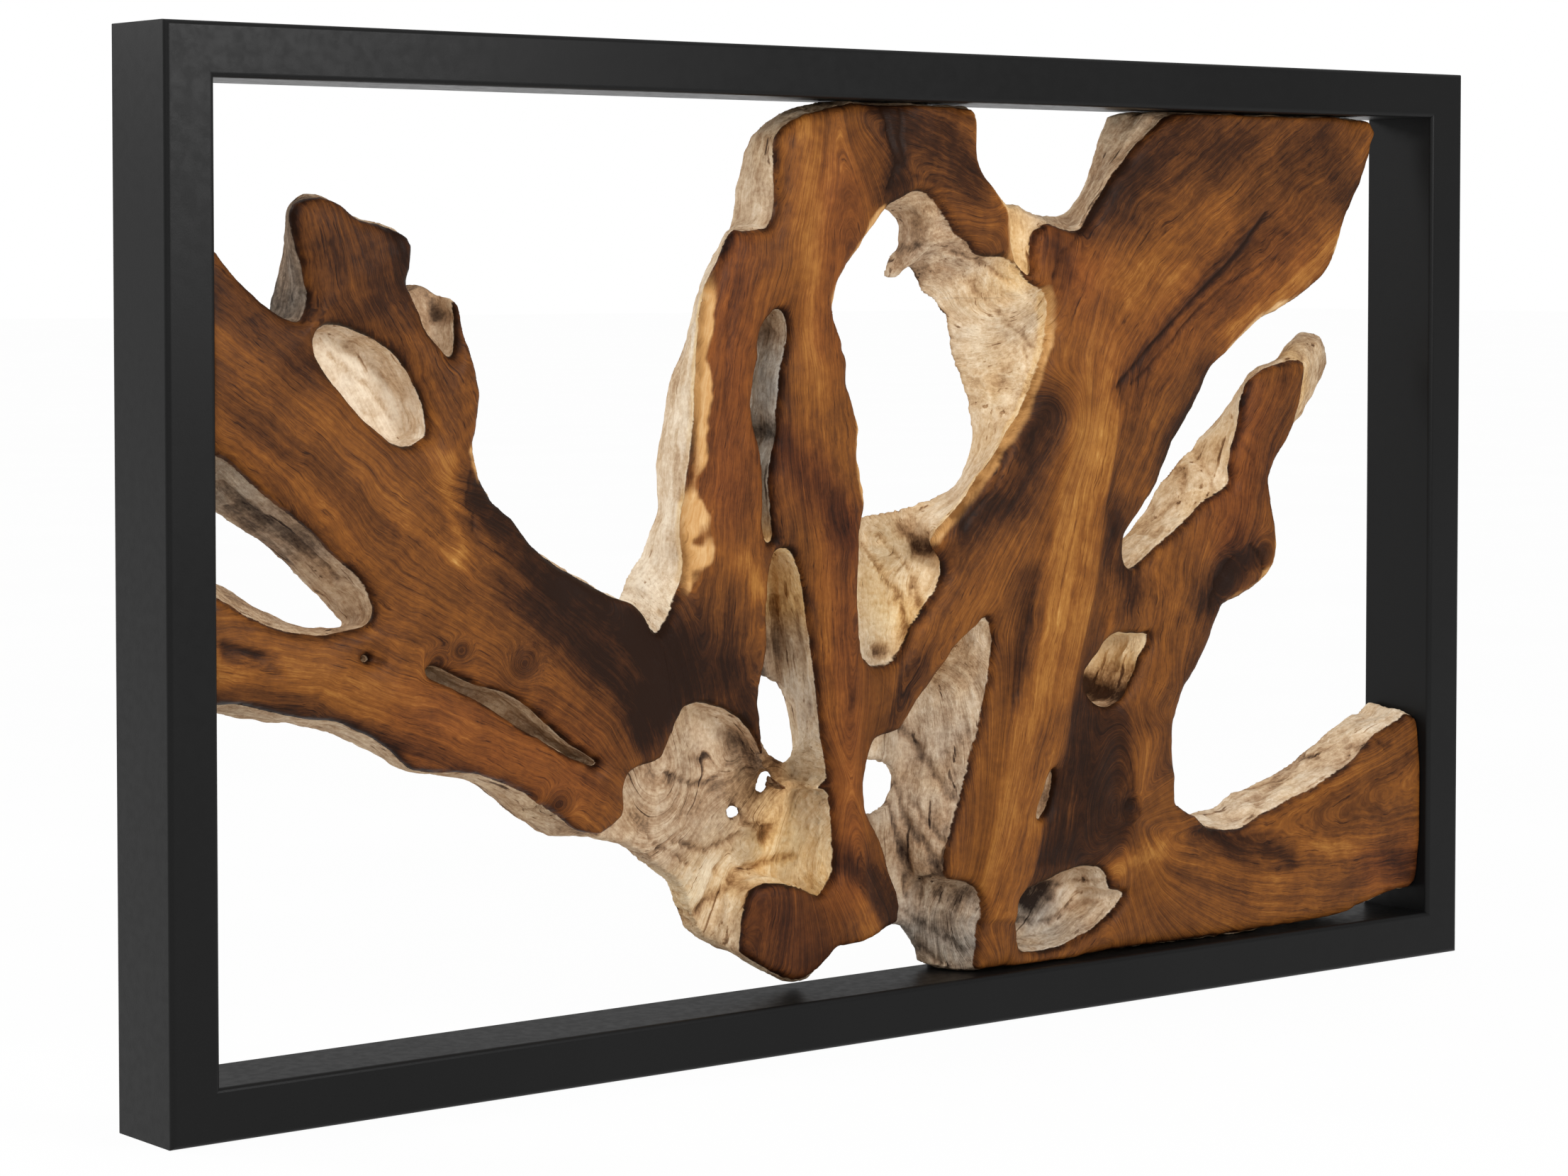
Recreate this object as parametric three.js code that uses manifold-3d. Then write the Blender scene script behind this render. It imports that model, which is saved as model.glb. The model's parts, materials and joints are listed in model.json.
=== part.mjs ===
// Wall panel: slices of teak root held in an open frame of black painted steel box section.
// Millimetres, +Z up. The back of the frame is the plane y = 0 and the panel faces -Y.
// The origin is on the back of the top rail, midway between its two keyholes.
import * as THREE from 'three';
import Module from 'manifold-3d';

const wasm = await Module();
wasm.setup();

const WIDTH = 1000;
const HEIGHT = 600;
const DEPTH = 60;
const FACE = 30;
const WALL = 2;
const TUBE_RADIUS = 3;
const JOIN_GAP = 0.3;

const HALF_W = WIDTH / 2;
const HALF_H = HEIGHT / 2;
const INNER_X = HALF_W - FACE;
const INNER_Z = HALF_H - FACE;
// Outlines below are measured from the middle of the frame; this drops them to the part's origin.
const DROP = FACE / 2 - HALF_H;

const ROOT_FRONT = -54;
const ROOT_BACK = -8;
const ROOT_DEEP = ROOT_BACK - ROOT_FRONT;
const CLEARANCE = 0.6;
const SEAM = 0.5;
const SMOOTHED = 0.2;

const black = new THREE.MeshStandardMaterial({ color: 0x1d1d1e, roughness: 0.55, metalness: 0.2 });
const teak = new THREE.MeshStandardMaterial({ color: 0x7a4a24, roughness: 0.6, metalness: 0 });
const teakPale = new THREE.MeshStandardMaterial({ color: 0x9a6a3c, roughness: 0.7, metalness: 0 });
const zinc = new THREE.MeshStandardMaterial({ color: 0xb5b7b8, roughness: 0.35, metalness: 1 });
const birch = new THREE.MeshStandardMaterial({ color: 0xcaa878, roughness: 0.7, metalness: 0 });

const part = new THREE.Group();
part.name = 'teak_root_panel';

function addMesh(name, geometry, material) {
  const mesh = new THREE.Mesh(geometry, material);
  mesh.name = name;
  part.add(mesh);
}

// ---------- solids ----------

function toSolid(geometry) {
  const bare = geometry.index ? geometry.toNonIndexed() : geometry.clone();
  const places = bare.getAttribute('position');
  const found = new Map();
  const points = [];
  const corners = [];
  for (let i = 0; i < places.count; i += 1) {
    const place = [places.getX(i), places.getY(i), places.getZ(i)];
    const key = place.map((value) => Math.round(value * 1e4)).join();
    if (!found.has(key)) {
      found.set(key, points.length / 3);
      points.push(...place);
    }
    corners.push(found.get(key));
  }
  const kept = [];
  for (let i = 0; i < corners.length; i += 3) {
    const [a, b, c] = corners.slice(i, i + 3);
    if (a !== b && b !== c && c !== a) {
      kept.push(a, b, c);
    }
  }
  return solidFrom(points, kept);
}

function solidFrom(points, corners) {
  const mesh = new wasm.Mesh({
    numProp: 3,
    vertProperties: new Float32Array(points),
    triVerts: new Uint32Array(corners),
  });
  mesh.merge();
  return new wasm.Manifold(mesh);
}

function toGeometry(solid) {
  const mesh = solid.getMesh();
  const geometry = new THREE.BufferGeometry();
  geometry.setAttribute('position', new THREE.BufferAttribute(new Float32Array(mesh.vertProperties), 3));
  geometry.setIndex(new THREE.BufferAttribute(new Uint32Array(mesh.triVerts), 1));
  const flat = geometry.toNonIndexed();
  flat.computeVertexNormals();
  return flat;
}

function boxSolid(from, to) {
  const size = to.map((value, i) => value - from[i]);
  return wasm.Manifold.cube(size, false).translate(from);
}

// A straight round bar from one point to another.
function barSolid(from, to, radius, sides) {
  const start = new THREE.Vector3(...from);
  const run = new THREE.Vector3(...to).sub(start);
  const bar = new THREE.CylinderGeometry(radius, radius, run.length(), sides, 1);
  bar.translate(0, run.length() / 2, 0);
  bar.applyQuaternion(new THREE.Quaternion().setFromUnitVectors(
    new THREE.Vector3(0, 1, 0),
    run.clone().normalize(),
  ));
  bar.translate(start.x, start.y, start.z);
  return toSolid(bar);
}

// ---------- frame ----------

function roundedRect(shape, x0, y0, x1, y1, r) {
  shape.moveTo(x0 + r, y0);
  shape.lineTo(x1 - r, y0);
  shape.absarc(x1 - r, y0 + r, r, -Math.PI / 2, 0, false);
  shape.lineTo(x1, y1 - r);
  shape.absarc(x1 - r, y1 - r, r, 0, Math.PI / 2, false);
  shape.lineTo(x0 + r, y1);
  shape.absarc(x0 + r, y1 - r, r, Math.PI / 2, Math.PI, false);
  shape.lineTo(x0, y0 + r);
  shape.absarc(x0 + r, y0 + r, r, Math.PI, Math.PI * 1.5, false);
  return shape;
}

// Box section, run along X with its outer face on z = 0, both ends cut at 45 degrees.
function mitredTube(length) {
  const shape = roundedRect(new THREE.Shape(), 0, 0, FACE, DEPTH, TUBE_RADIUS);
  const bore = roundedRect(new THREE.Path(), WALL, WALL, FACE - WALL, DEPTH - WALL, TUBE_RADIUS - WALL);
  shape.holes.push(bore);
  const tube = new THREE.ExtrudeGeometry(shape, { depth: length, bevelEnabled: false, curveSegments: 4 });
  const places = tube.getAttribute('position');
  for (let i = 0; i < places.count; i += 1) {
    const inward = places.getX(i);
    const deep = places.getY(i);
    const far = places.getZ(i) > length / 2;
    const along = far ? length - inward - JOIN_GAP / 2 : inward + JOIN_GAP / 2;
    places.setXYZ(i, along - length / 2, deep - DEPTH, -inward);
  }
  return toSolid(tube);
}

function keyhole(x) {
  const entry = barSolid([x, -WALL * 2, -4], [x, 1, -4], 5, 24);
  const neck = boxSolid([x - 2.6, -WALL * 2, -4], [x + 2.6, 1, 6]);
  const seat = barSolid([x, -WALL * 2, 6], [x, 1, 6], 2.6, 16);
  return entry.add(neck).add(seat);
}

const KEYHOLE_X = 300;
const railTube = mitredTube(WIDTH);
const stileTube = mitredTube(HEIGHT);
const topRail = railTube.translate([0, 0, FACE / 2]);
const bottomRail = railTube.rotate([0, 180, 0]).translate([0, 0, FACE / 2 - HEIGHT]);
const leftStile = stileTube.rotate([0, -90, 0]).translate([-HALF_W, 0, DROP]);
const rightStile = stileTube.rotate([0, 90, 0]).translate([HALF_W, 0, DROP]);

addMesh('top_rail', toGeometry(topRail.subtract(keyhole(-KEYHOLE_X)).subtract(keyhole(KEYHOLE_X))), black);
addMesh('bottom_rail', toGeometry(bottomRail), black);
addMesh('left_stile', toGeometry(leftStile), black);
addMesh('right_stile', toGeometry(rightStile), black);

// ---------- root slices ----------

function evenOutline(points) {
  const front = points.map(([x, z]) => new THREE.Vector3(x, 0, z));
  const back = points.map(([x, z, dx = 0, dz = 0]) => new THREE.Vector3(x + dx, 0, z + dz));
  const frontCurve = new THREE.CatmullRomCurve3(front, true, 'catmullrom', 0.4);
  const backCurve = new THREE.CatmullRomCurve3(back, true, 'catmullrom', 0.4);
  const count = points.length * 2;
  const pairs = [];
  for (let i = 0; i < count; i += 1) {
    pairs.push([frontCurve.getPoint(i / count), backCurve.getPoint(i / count)]);
  }
  const turns = pairs.map(([a]) => new THREE.Vector2(a.x, a.z));
  return THREE.ShapeUtils.area(turns) < 0 ? pairs.reverse() : pairs;
}

// A flat cap over one ring, wound towards the front (1) or the back (-1).
function capCorners(ring, base, wanted) {
  const faces = THREE.ShapeUtils.triangulateShape(ring, []);
  if (faces.length !== ring.length - 2) {
    throw new Error(`outline crosses itself near ${ring[0].x.toFixed(0)}, ${ring[0].y.toFixed(0)}`);
  }
  const total = faces.reduce((sum, face) => sum + THREE.ShapeUtils.area(face.map((i) => ring[i])), 0);
  const turned = total * wanted > 0;
  return faces.flatMap(([a, b, c]) => (turned ? [a, b, c] : [a, c, b]).map((i) => base + i));
}

// A closed solid through several depths. Each section gives its depth behind the front of the
// slices, how far it has gone from the front outline to the back one, and how far it swells.
function loftSolid(points, sections) {
  const pairs = evenOutline(points);
  const count = pairs.length;
  const places = [];
  const rings = sections.map(({ deep, blend, swell = 0 }) => {
    const ring = pairs.map(([a, b]) => new THREE.Vector2(
      THREE.MathUtils.lerp(a.x, b.x, blend),
      THREE.MathUtils.lerp(a.z, b.z, blend),
    ));
    return ring.map((point, i) => {
      const run = ring[(i + 1) % count].clone().sub(ring[(i + count - 1) % count]).normalize();
      const spot = new THREE.Vector2(point.x + run.y * swell, point.y - run.x * swell);
      const depth = typeof deep === 'function' ? deep(spot.x, spot.y) : deep;
      places.push(spot.x, ROOT_FRONT + depth, spot.y);
      return spot;
    });
  });
  const corners = [];
  for (let k = 0; k + 1 < rings.length; k += 1) {
    for (let i = 0; i < count; i += 1) {
      const j = (i + 1) % count;
      const near = k * count;
      const far = near + count;
      corners.push(near + i, far + i, far + j);
      corners.push(near + i, far + j, near + j);
    }
  }
  const lastRing = (rings.length - 1) * count;
  corners.push(...capCorners(rings[0], 0, 1));
  corners.push(...capCorners(rings[rings.length - 1], lastRing, -1));
  return solidFrom(places, corners);
}

const BODY_SECTIONS = [
  { deep: 0, blend: 0, swell: -1.2 },
  { deep: 1.6, blend: 0.02, swell: 0 },
  { deep: 15, blend: 0.3, swell: 1.8 },
  { deep: 32, blend: 0.7, swell: 1.8 },
  { deep: ROOT_DEEP, blend: 1, swell: 0 },
];

// A cutter that goes right through, opening a touch at the front edge.
const THROUGH = [
  { deep: -1, blend: 0, swell: 1.6 },
  { deep: 1.6, blend: 0.02, swell: 0 },
  { deep: ROOT_DEEP, blend: 1, swell: 0 },
  { deep: ROOT_DEEP + 1, blend: 1, swell: 0 },
];

function pocketTo(deep, flare = 1.6) {
  return [
    { deep: -1, blend: 0, swell: flare },
    { deep: 1.6, blend: 0.05, swell: 0 },
    { deep, blend: 1, swell: -0.6 * flare },
  ];
}

// Outlines: x, z on the front face, then how far the back edge lies from it in x and z.
const BODY = [
  // upper left branch and its stub
  [-474, 181], [-452, 165, 0, -2], [-437, 152, 2, -3], [-423, 143, 2, -2], [-410, 139],
  [-404, 150, -3, 0], [-407, 168, 8, 0], [-413, 185, 18, 0], [-416, 199, 26, 2], [-409, 206, 24, 1],
  [-396, 207, 14, 0], [-384, 203, 6, 0], [-374, 196, 4, 0], [-358, 192, 2, 0], [-345, 188],
  [-338, 181], [-340, 168], [-342, 157, 2, 2], [-333, 154, 3, 2], [-324, 157, 4, 2],
  [-314, 152, 4, 0], [-308, 149, 3, 0], [-304, 131, 3, 0], [-298, 116, 3, 0], [-294, 98, 3, 0],
  [-297, 78, 2, 0], [-299, 68, 2, 2], [-294, 50, 2, 3], [-284, 36, 2, 3], [-272, 27, 0, 3],
  [-258, 11, 0, 3], [-243, -1, 0, 3], [-226, -9, 0, 3], [-205, -20, 0, 2], [-190, -25, 2, 2],
  // fork and the left side of the trunk
  [-182, -31, 4, 5], [-177, -39, 4, 13], [-170, -46, 0, 21], [-163, -40, -5, 20], [-157, -28, -8, 14],
  [-151, -15, -9, 7], [-150, -3, -4, 2], [-153, 12, 5, 0], [-151, 28, 10, 0], [-146, 52, 2, 0],
  [-142, 80, 5, 0], [-141, 105, 10, 0], [-140, 135, 25, 0], [-137, 152, 28, 0], [-130, 167, 27, 0],
  [-122, 180, 30, 0], [-116, 190, 28, 0], [-103, 190, 16, 5], [-88, 192, 2, 7], [-82, 206, -2, 2],
  [-82, 228, 3, 0], [-83, 246, 11, 2], [-70, 257, 12, 0], [-50, 263, 8, 0], [-25, 267, 3, 0],
  // top of the arch, the bridge and the shoulder of the right piece
  [0, 267.5], [40, 267.5], [71, 266, 18, 0], [73, 250, 18, 0], [74, 236, 16, 0],
  [80, 226, 14, 0], [90, 217, 12, 0], [100, 207, 10, 0], [112, 206, 20, 0], [124, 200, 25, 0],
  [134, 196, 34, 4], [148, 192, 28, 9], [160, 191, 21, 11], [166, 195, 19, 9], [172, 205, 20, 5],
  [181, 216, 18, 2], [190, 227, 13, 0], [200, 236, 7, 2], [211, 248, 1, 2], [230, 261, -13, 2],
  [245, 267.5, -20, 0], [330, 267.5], [421, 267],
  // right edge of the right piece
  [423, 250], [419, 238], [412, 224], [402, 208, 3, 0], [396, 198, 3, 0],
  [391, 184, 4, 0], [385, 171, 4, -2], [376, 162, 4, -4], [360, 152, 4, -5], [340, 143, 4, -5],
  [322, 137, 4, -5], [305, 126, 4, -4], [288, 113, 4, -3], [275, 104, 3, 0], [267, 91, 3, 0],
  [258, 77], [248, 64], [240, 54], [232, 40], [222, 24],
  [210, 10], [201, 0], [198, -10], [200, -20], [206, -25, 4, 3],
  // side branch
  [215, -20, 7, 6], [228, -12, 10, 8], [245, -3, 7, 11], [258, 6, 4, 14], [268, 14, 4, 18],
  [283, 21, 0, 21], [296, 27, -4, 20], [294, 36, 5, 16], [296, 50, 11, 9], [302, 64, 14, 2],
  [304, 80, 26, -3], [308, 91, 34, -3], [316, 99, 38, -2], [332, 103, 44, 5], [348, 106, 50, 20],
  [359, 105, 60, 16], [358, 94, 66, 10], [355, 80, 58, 10], [350, 66, 46, 9], [341, 52, 28, 6],
  [333, 41, 15, 2], [328, 31, 8, 0], [330, 15, 6, 0], [334, 0, 4, 0], [336, -12, 4, 0],
  [333, -27, 4, 0], [320, -38, 4, -2], [302, -46, 3, -3], [286, -51, 3, -2], [279, -63, 3, 0],
  [270, -80], [260, -94], [250, -108], [243, -125], [242, -140],
  [244, -160], [244, -176], [252, -183], [264, -189, 8, -1],
  // lower right branch
  [277, -198, 15, 5], [292, -201, 16, 9], [308, -200, 12, 10], [322, -194, 12, 11], [338, -190, 12, 10],
  [356, -184, 12, 10], [376, -180, 10, 13], [394, -171, 8, 11], [412, -163, 6, 11], [424, -153, 6, 7],
  [436, -147, 5, 6], [450, -142, 5, 4], [474, -140, 0, 5], [474, -245], [455, -253],
  [435, -257], [412, -262], [390, -266], [300, -267.5], [183, -267.5],
  [75, -267.5, -6, 0], [62, -261, -4, 0], [52, -249], [44, -240], [24, -236],
  // foot of the trunk, the knob and the raw side below the branches
  [11, -231], [0, -236], [-17, -241], [-33, -241], [-42, -247],
  [-55, -255, 18, -10], [-70, -257, 21, -5], [-88, -250, 19, -2], [-104, -240, 14, -2], [-118, -229, -2, 0],
  [-128, -212, -2, 0], [-136, -194], [-157, -180], [-179, -166], [-200, -160],
  [-214, -157, -4, -2], [-228, -154, -2, -4], [-236, -147, -4, -5], [-248, -138, -4, -6], [-265, -127, 3, -8],
  [-280, -121, 9, -7], [-295, -116, 8, -6], [-320, -112, 14, -4], [-340, -110, 14, 0], [-352, -99, 12, -5],
  [-365, -90, 10, -7], [-378, -84, 5, -5], [-390, -79, 0, -6], [-410, -76, 0, -5], [-430, -71, 0, -6],
  [-450, -65, 0, -8], [-474, -60, 0, -10],
  // between the two left branches
  [-474, -8, 0, 18], [-450, -17, 2, 16], [-435, -24, 5, 14], [-418, -30, 4, 7], [-400, -33, 4, 2],
  [-384, -31, 6, -3], [-368, -28, 9, -5], [-364, -20, 4, -10], [-367, -8, 0, -16], [-375, 1, 0, -17],
  [-390, 13, 5, -19], [-405, 27, 7, -22], [-422, 40, 10, -24], [-440, 53, 12, -26], [-457, 68, 8, -28],
  [-474, 84, 0, -30],
];

const ARCH_OPENING = [
  [-6, 198, 6, 2], [5, 208, 17, -2], [14, 212, 24, -8], [24, 217, 20, -23], [34, 217, 9, -34],
  [44, 211, -8, -39], [52, 201, -20, -38], [60, 192, -18, -29], [69, 187, -17, -18], [74, 179, -18, -19],
  [84, 177, -22, -23], [100, 178, -32, -27], [112, 168, -40, -20], [124, 160, -48, -18], [137, 154, -56, -16],
  [138, 140, -55, -12], [135, 122, -51, -5], [130, 108, -39, -3], [122, 94, -26, 1], [115, 80, -14, 0],
  [104, 69, 1, -5], [92, 54, 10, -4], [78, 40, 18, -1], [68, 26, 20, 5], [56, 16, 22, 11],
  [42, 6, 26, 18], [38, -3, 22, 26], [46, -12, 8, 34], [48, -21, 0, 42], [44, -31, -1, 51],
  [32, -44, 6, 64], [21, -54, 12, 73], [16, -68, 12, 87], [6, -76, 16, 94], [-8, -78, 22, 96],
  [-18, -70, 24, 89], [-21, -50, 21, 70], [-21, -20, 15, 42], [-19, 8, 8, 18], [-15, 27, 2, 9],
  [-19, 42, 4, 4], [-21, 58, 4, 0], [-20, 72, 2, 0], [-24, 85, 2, 0], [-30, 100, 4, 0],
  [-30, 114, 3, 0], [-37, 132, 4, 0], [-41, 145, 5, 1], [-36, 162, 6, 1], [-20, 181, 6, 1],
];

// Raw side between the trunk's leg and the long ridge of the right piece.
const LEG_POCKET = [
  [85, -46, -11, -12], [90, -56, -14, -8], [90, -80, -26, -2], [86, -100, -30, 0], [79, -122, -28, 0],
  [70, -145, -24, 0], [62, -168, -20, 0], [52, -192, -12, 0], [52, -208, -10, 0], [66, -211, -16, -2],
  [77, -217, -24, -4], [82, -232, -28, -6], [78, -250, -24, -2], [73, -274, -18, 0], [30, -274],
  [12, -240], [13, -222], [5, -200], [-3, -180], [-13, -163],
  [-16, -150], [-13, -130], [-7, -117], [12, -113], [25, -97, 4, -4],
  [42, -80, 4, -6], [62, -60, 0, -10], [75, -52, -4, -10],
];
const LEG_HOLE = [
  [-16, -150, 6, 0], [-13, -136, 10, 0], [-4, -130, 20, -4], [18, -133, 16, -6], [30, -144, 8, -4],
  [32, -158, 2, -2], [22, -168, 4, 0], [0, -170, 6, 0], [-12, -163, 8, 0],
];

// Raw side below the left branches, stepped back from the polished face.
const RAW_STEP = [
  [-196, -148, 4, 0], [-195, -128, 4, 0], [-185, -120, 2, -2], [-168, -117, 2, -3], [-160, -100, 3, 0],
  [-151, -87, 2, -3], [-134, -86, 0, -3], [-110, -96, 0, -3], [-96, -112, 0, -2], [-88, -132, 0, -2],
  [-76, -142], [-58, -144], [-41, -146, -6, 0], [-38, -172, -8, 0], [-38, -196, -8, 2],
  [-48, -211, -4, 4], [-60, -206, 0, 4], [-80, -199, 0, 4], [-100, -200, -6, 2], [-106, -220, -8, 0],
  [-108, -240, -8, 0], [-112, -262], [-180, -262], [-232, -200], [-226, -166],
  [-208, -156],
];
const LEG_SLOT = [
  [-84, 1, 4, -6], [-74, 3, 0, -6], [-67, -3, -1, -4], [-62, -16], [-59, -32],
  [-55, -52], [-52, -72], [-50, -92], [-47, -115], [-42, -140],
  [-60, -145], [-76, -142, 4, 4], [-88, -132, 6, 4], [-94, -115, 7, 0], [-97, -98, 8, 0],
  [-97, -80, 8, 0], [-92, -66, 6, 0], [-91, -48, 6, 0], [-91, -28, 6, 0], [-89, -12, 6, -4],
];
const LEG_SLOT_HOLE = [
  [-88, -80, 10, 0], [-91, -92, 10, 0], [-88, -106, 12, 0], [-82, -117, 14, 0], [-74, -127, 16, -2],
  [-58, -132, 12, 0], [-48, -124, 8, 0], [-50, -104, 6, 0], [-53, -88, 4, 0], [-66, -78, 4, 0],
];

const POCKETS = [
  // oval hollow in the upper left branch
  {
    deep: 26,
    points: [
      [-402, 133, 6, -2], [-394, 139, 4, -4], [-380, 137, 2, -4], [-365, 131, 0, -3], [-350, 123, -2, -3],
      [-341, 112, -3, -2], [-333, 99, -4, 0], [-328, 85, -4, 1], [-328, 74, -4, 3], [-339, 69, 0, 3],
      [-351, 71, 2, 3], [-364, 80, 4, 2], [-381, 95, 5, 2], [-397, 114, 6, 2], [-403, 124, 7, 0],
    ],
  },
  // broken corner behind the stub
  {
    deep: 16,
    points: [
      [-341, 158], [-335, 146, 2, 0], [-329, 133, 2, 0], [-320, 123, 2, 2], [-311, 118, 0, 3],
      [-309, 132, 0, 0], [-311, 151, 0, 0], [-318, 164], [-334, 168],
    ],
  },
  // long hollow down the trunk
  {
    deep: 30,
    points: [
      [-86, 143, 2, -2], [-78, 145, 0, -2], [-73, 137, -2, 0], [-73, 124, -2, 0], [-78, 106, -2, 0],
      [-80, 86, -2, 0], [-83, 66, -1, 0], [-86, 44, -1, 0], [-85, 22, -1, 0], [-83, 6, -2, 4],
      [-91, 5, 2, 4], [-94, 20, 2, 0], [-93, 42, 1, 0], [-96, 62, 2, 0], [-102, 80, 3, 0],
      [-102, 98, 3, 0], [-98, 114, 3, 0], [-95, 132, 3, 0],
    ],
  },
  // crevice between the left branches
  {
    deep: 28,
    flare: 0.2,
    points: [
      [-333, -53, 2, 0], [-324, -53, 0, -1], [-311, -59, 0, -1], [-295, -66, 0, -1], [-276, -71, 0, -2],
      [-262, -79, 0, -2], [-247, -91, 0, -2], [-231, -104, 0, -1], [-213, -114, -2, 0], [-213, -119, -2, 1],
      [-230, -113, 0, 1], [-250, -102, 0, 1], [-271, -90, 0, 1], [-292, -77, 0, 1], [-312, -67, 0, 1],
      [-328, -60, 1, 1],
    ],
  },
  // short slit left of the crevice
  {
    deep: 14,
    flare: 0.2,
    points: [[-379, -43], [-371, -43.5], [-358, -47.5], [-361, -50], [-372, -48]],
  },
  // hollow under the side branch
  {
    deep: 36,
    points: [
      [165, -88, 4, 0], [167, -99, 4, 2], [174, -108, 3, 3], [183, -112, 1, 4], [193, -111, -1, 4],
      [201, -103, -2, 3], [210, -91, -4, 1], [215, -81, -5, 0], [222, -74, -7, 0], [224, -65, -8, -3],
      [210, -65, -2, -3], [196, -63, 0, -3], [185, -67, 2, -3], [177, -77, 3, 0],
    ],
  },
  // shallow dent beside the ridge
  {
    deep: 9,
    points: [
      [142, -148, -2, -2], [136, -146, -1, -2], [129, -155, 2, 0], [124, -167, 2, 0], [121, -177, 2, 2],
      [129, -179, 0, 2], [137, -172, -2, 0], [141, -160, -2, 0],
    ],
  },
  // wide hollow above the bottom rail
  {
    deep: 32,
    points: [
      [106, -230, 5, 0], [115, -222, 3, -3], [133, -218, 0, -3], [150, -213, 0, -3], [166, -211, 0, -3],
      [181, -213, -2, -3], [188, -220, -6, -2], [190, -228, -8, 0], [206, -231, -14, 0], [196, -241, -8, 2],
      [178, -252, -4, 4], [160, -259, 0, 4], [142, -262, 0, 4], [122, -262, 0, 4], [110, -259, 4, 3],
      [107, -244, 5, 0],
    ],
  },
  // sapwood bridge at the end of the arch, below the polished face
  {
    deep: 8,
    points: [
      [101, 212], [102, 196, 2, 0], [102, 182, 2, 0], [108, 172, 0, 0], [122, 162, -2, 0],
      [121, 176, -2, 0], [123, 190, -2, 0], [136, 197, -4, 0], [134, 212], [116, 216],
    ],
  },
];

const rawStepDeep = (x) => THREE.MathUtils.clamp(17 + (x + 200) * 0.1, 16, 34);
const stepSections = [
  { deep: -1, blend: 0 },
  { deep: 2, blend: 0.05 },
  { deep: rawStepDeep, blend: 1 },
];

let root = loftSolid(BODY, BODY_SECTIONS);
root = root.subtract(loftSolid(ARCH_OPENING, THROUGH));
root = root.subtract(loftSolid(LEG_POCKET, pocketTo(37)));
root = root.subtract(loftSolid(LEG_HOLE, THROUGH));
root = root.subtract(loftSolid(RAW_STEP, stepSections));
root = root.subtract(loftSolid(LEG_SLOT, pocketTo(39)));
root = root.subtract(loftSolid(LEG_SLOT_HOLE, THROUGH));
for (const { deep, points, flare } of POCKETS) {
  root = root.subtract(loftSolid(points, pocketTo(deep, flare)));
}
// Worm holes, running to the right as they go back.
const HOLE_RUN = [40, -9];
for (const [x, z, radius] of [[-119, -152, 4.6], [-95, -133, 4.8], [-98, -139, 4.2]]) {
  root = root.subtract(barSolid([x, ROOT_FRONT, z], [x + HOLE_RUN[0], 0, z + HOLE_RUN[1]], radius, 14));
}
root = root.intersect(boxSolid(
  [CLEARANCE - INNER_X, -DEPTH, CLEARANCE - INNER_Z],
  [INNER_X - CLEARANCE, 0, INNER_Z - CLEARANCE],
));

// Saw cuts that part the slices, each run from edge to edge through the full thickness.
const SEAMS = [
  // left fork: end of the gap, slit, crevice, foot of the lower branch
  [[-374, -12], [-362, -31], [-350, -44], [-333, -54], [-300, -69], [-270, -80], [-240, -104],
    [-213, -116], [-196, -122], [-193, -140], [-199, -180]],
  // upper branch from trunk
  [[-171, -6], [-169, -30], [-168, -58], [-163, -86], [-160, -104], [-168, -119], [-186, -122],
    [-202, -120]],
  // trunk from the raw side below it
  [[-62, -114], [-80, -132], [-91, -122], [-100, -108], [-112, -96], [-134, -87], [-151, -88],
    [-158, -100], [-172, -112]],
  // trunk's leg from the knob
  [[-60, -116], [-45, -136], [-40, -150], [-39, -200], [-44, -222], [-41, -275]],
  // trunk from arch
  [[-10, 280], [-3, 250], [4, 225], [4, 206], [8, 188]],
  // arch from right piece
  [[142, 214], [126, 190], [122, 172], [127, 153], [106, 150], [60, 150], [20, 146]],
  // trunk from right piece, above and below the through hole
  [[2, 44], [-14, 22], [-19, 0], [-20, -40], [-18, -68], [-4, -84], [8, -98], [6, -114], [4, -148]],
  [[4, -152], [9, -178], [17, -205], [14, -226], [10, -250]],
  // side branch
  [[210, -4], [203, -22], [182, -33], [164, -44], [170, -60], [190, -84], [214, -94], [264, -114]],
  // lower right branch
  [[284, -178], [262, -189], [235, -200], [213, -217], [200, -234], [186, -250], [183, -290]],
];

function seamSolid(points) {
  const side = (i, sign) => {
    const before = new THREE.Vector2(...points[Math.max(i - 1, 0)]);
    const after = new THREE.Vector2(...points[Math.min(i + 1, points.length - 1)]);
    const run = after.sub(before).normalize();
    return new THREE.Vector2(points[i][0] - run.y * sign * SEAM / 2, points[i][1] + run.x * sign * SEAM / 2);
  };
  const there = points.map((_, i) => side(i, 1));
  const back = points.map((_, i) => side(points.length - 1 - i, -1));
  const shape = new THREE.Shape([...there, ...back]);
  const strip = new THREE.ExtrudeGeometry(shape, { depth: DEPTH + 20, bevelEnabled: false });
  strip.rotateX(Math.PI / 2);
  strip.translate(0, 10, 0);
  return toSolid(strip);
}

for (const points of SEAMS) {
  root = root.subtract(seamSolid(points));
}

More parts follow.
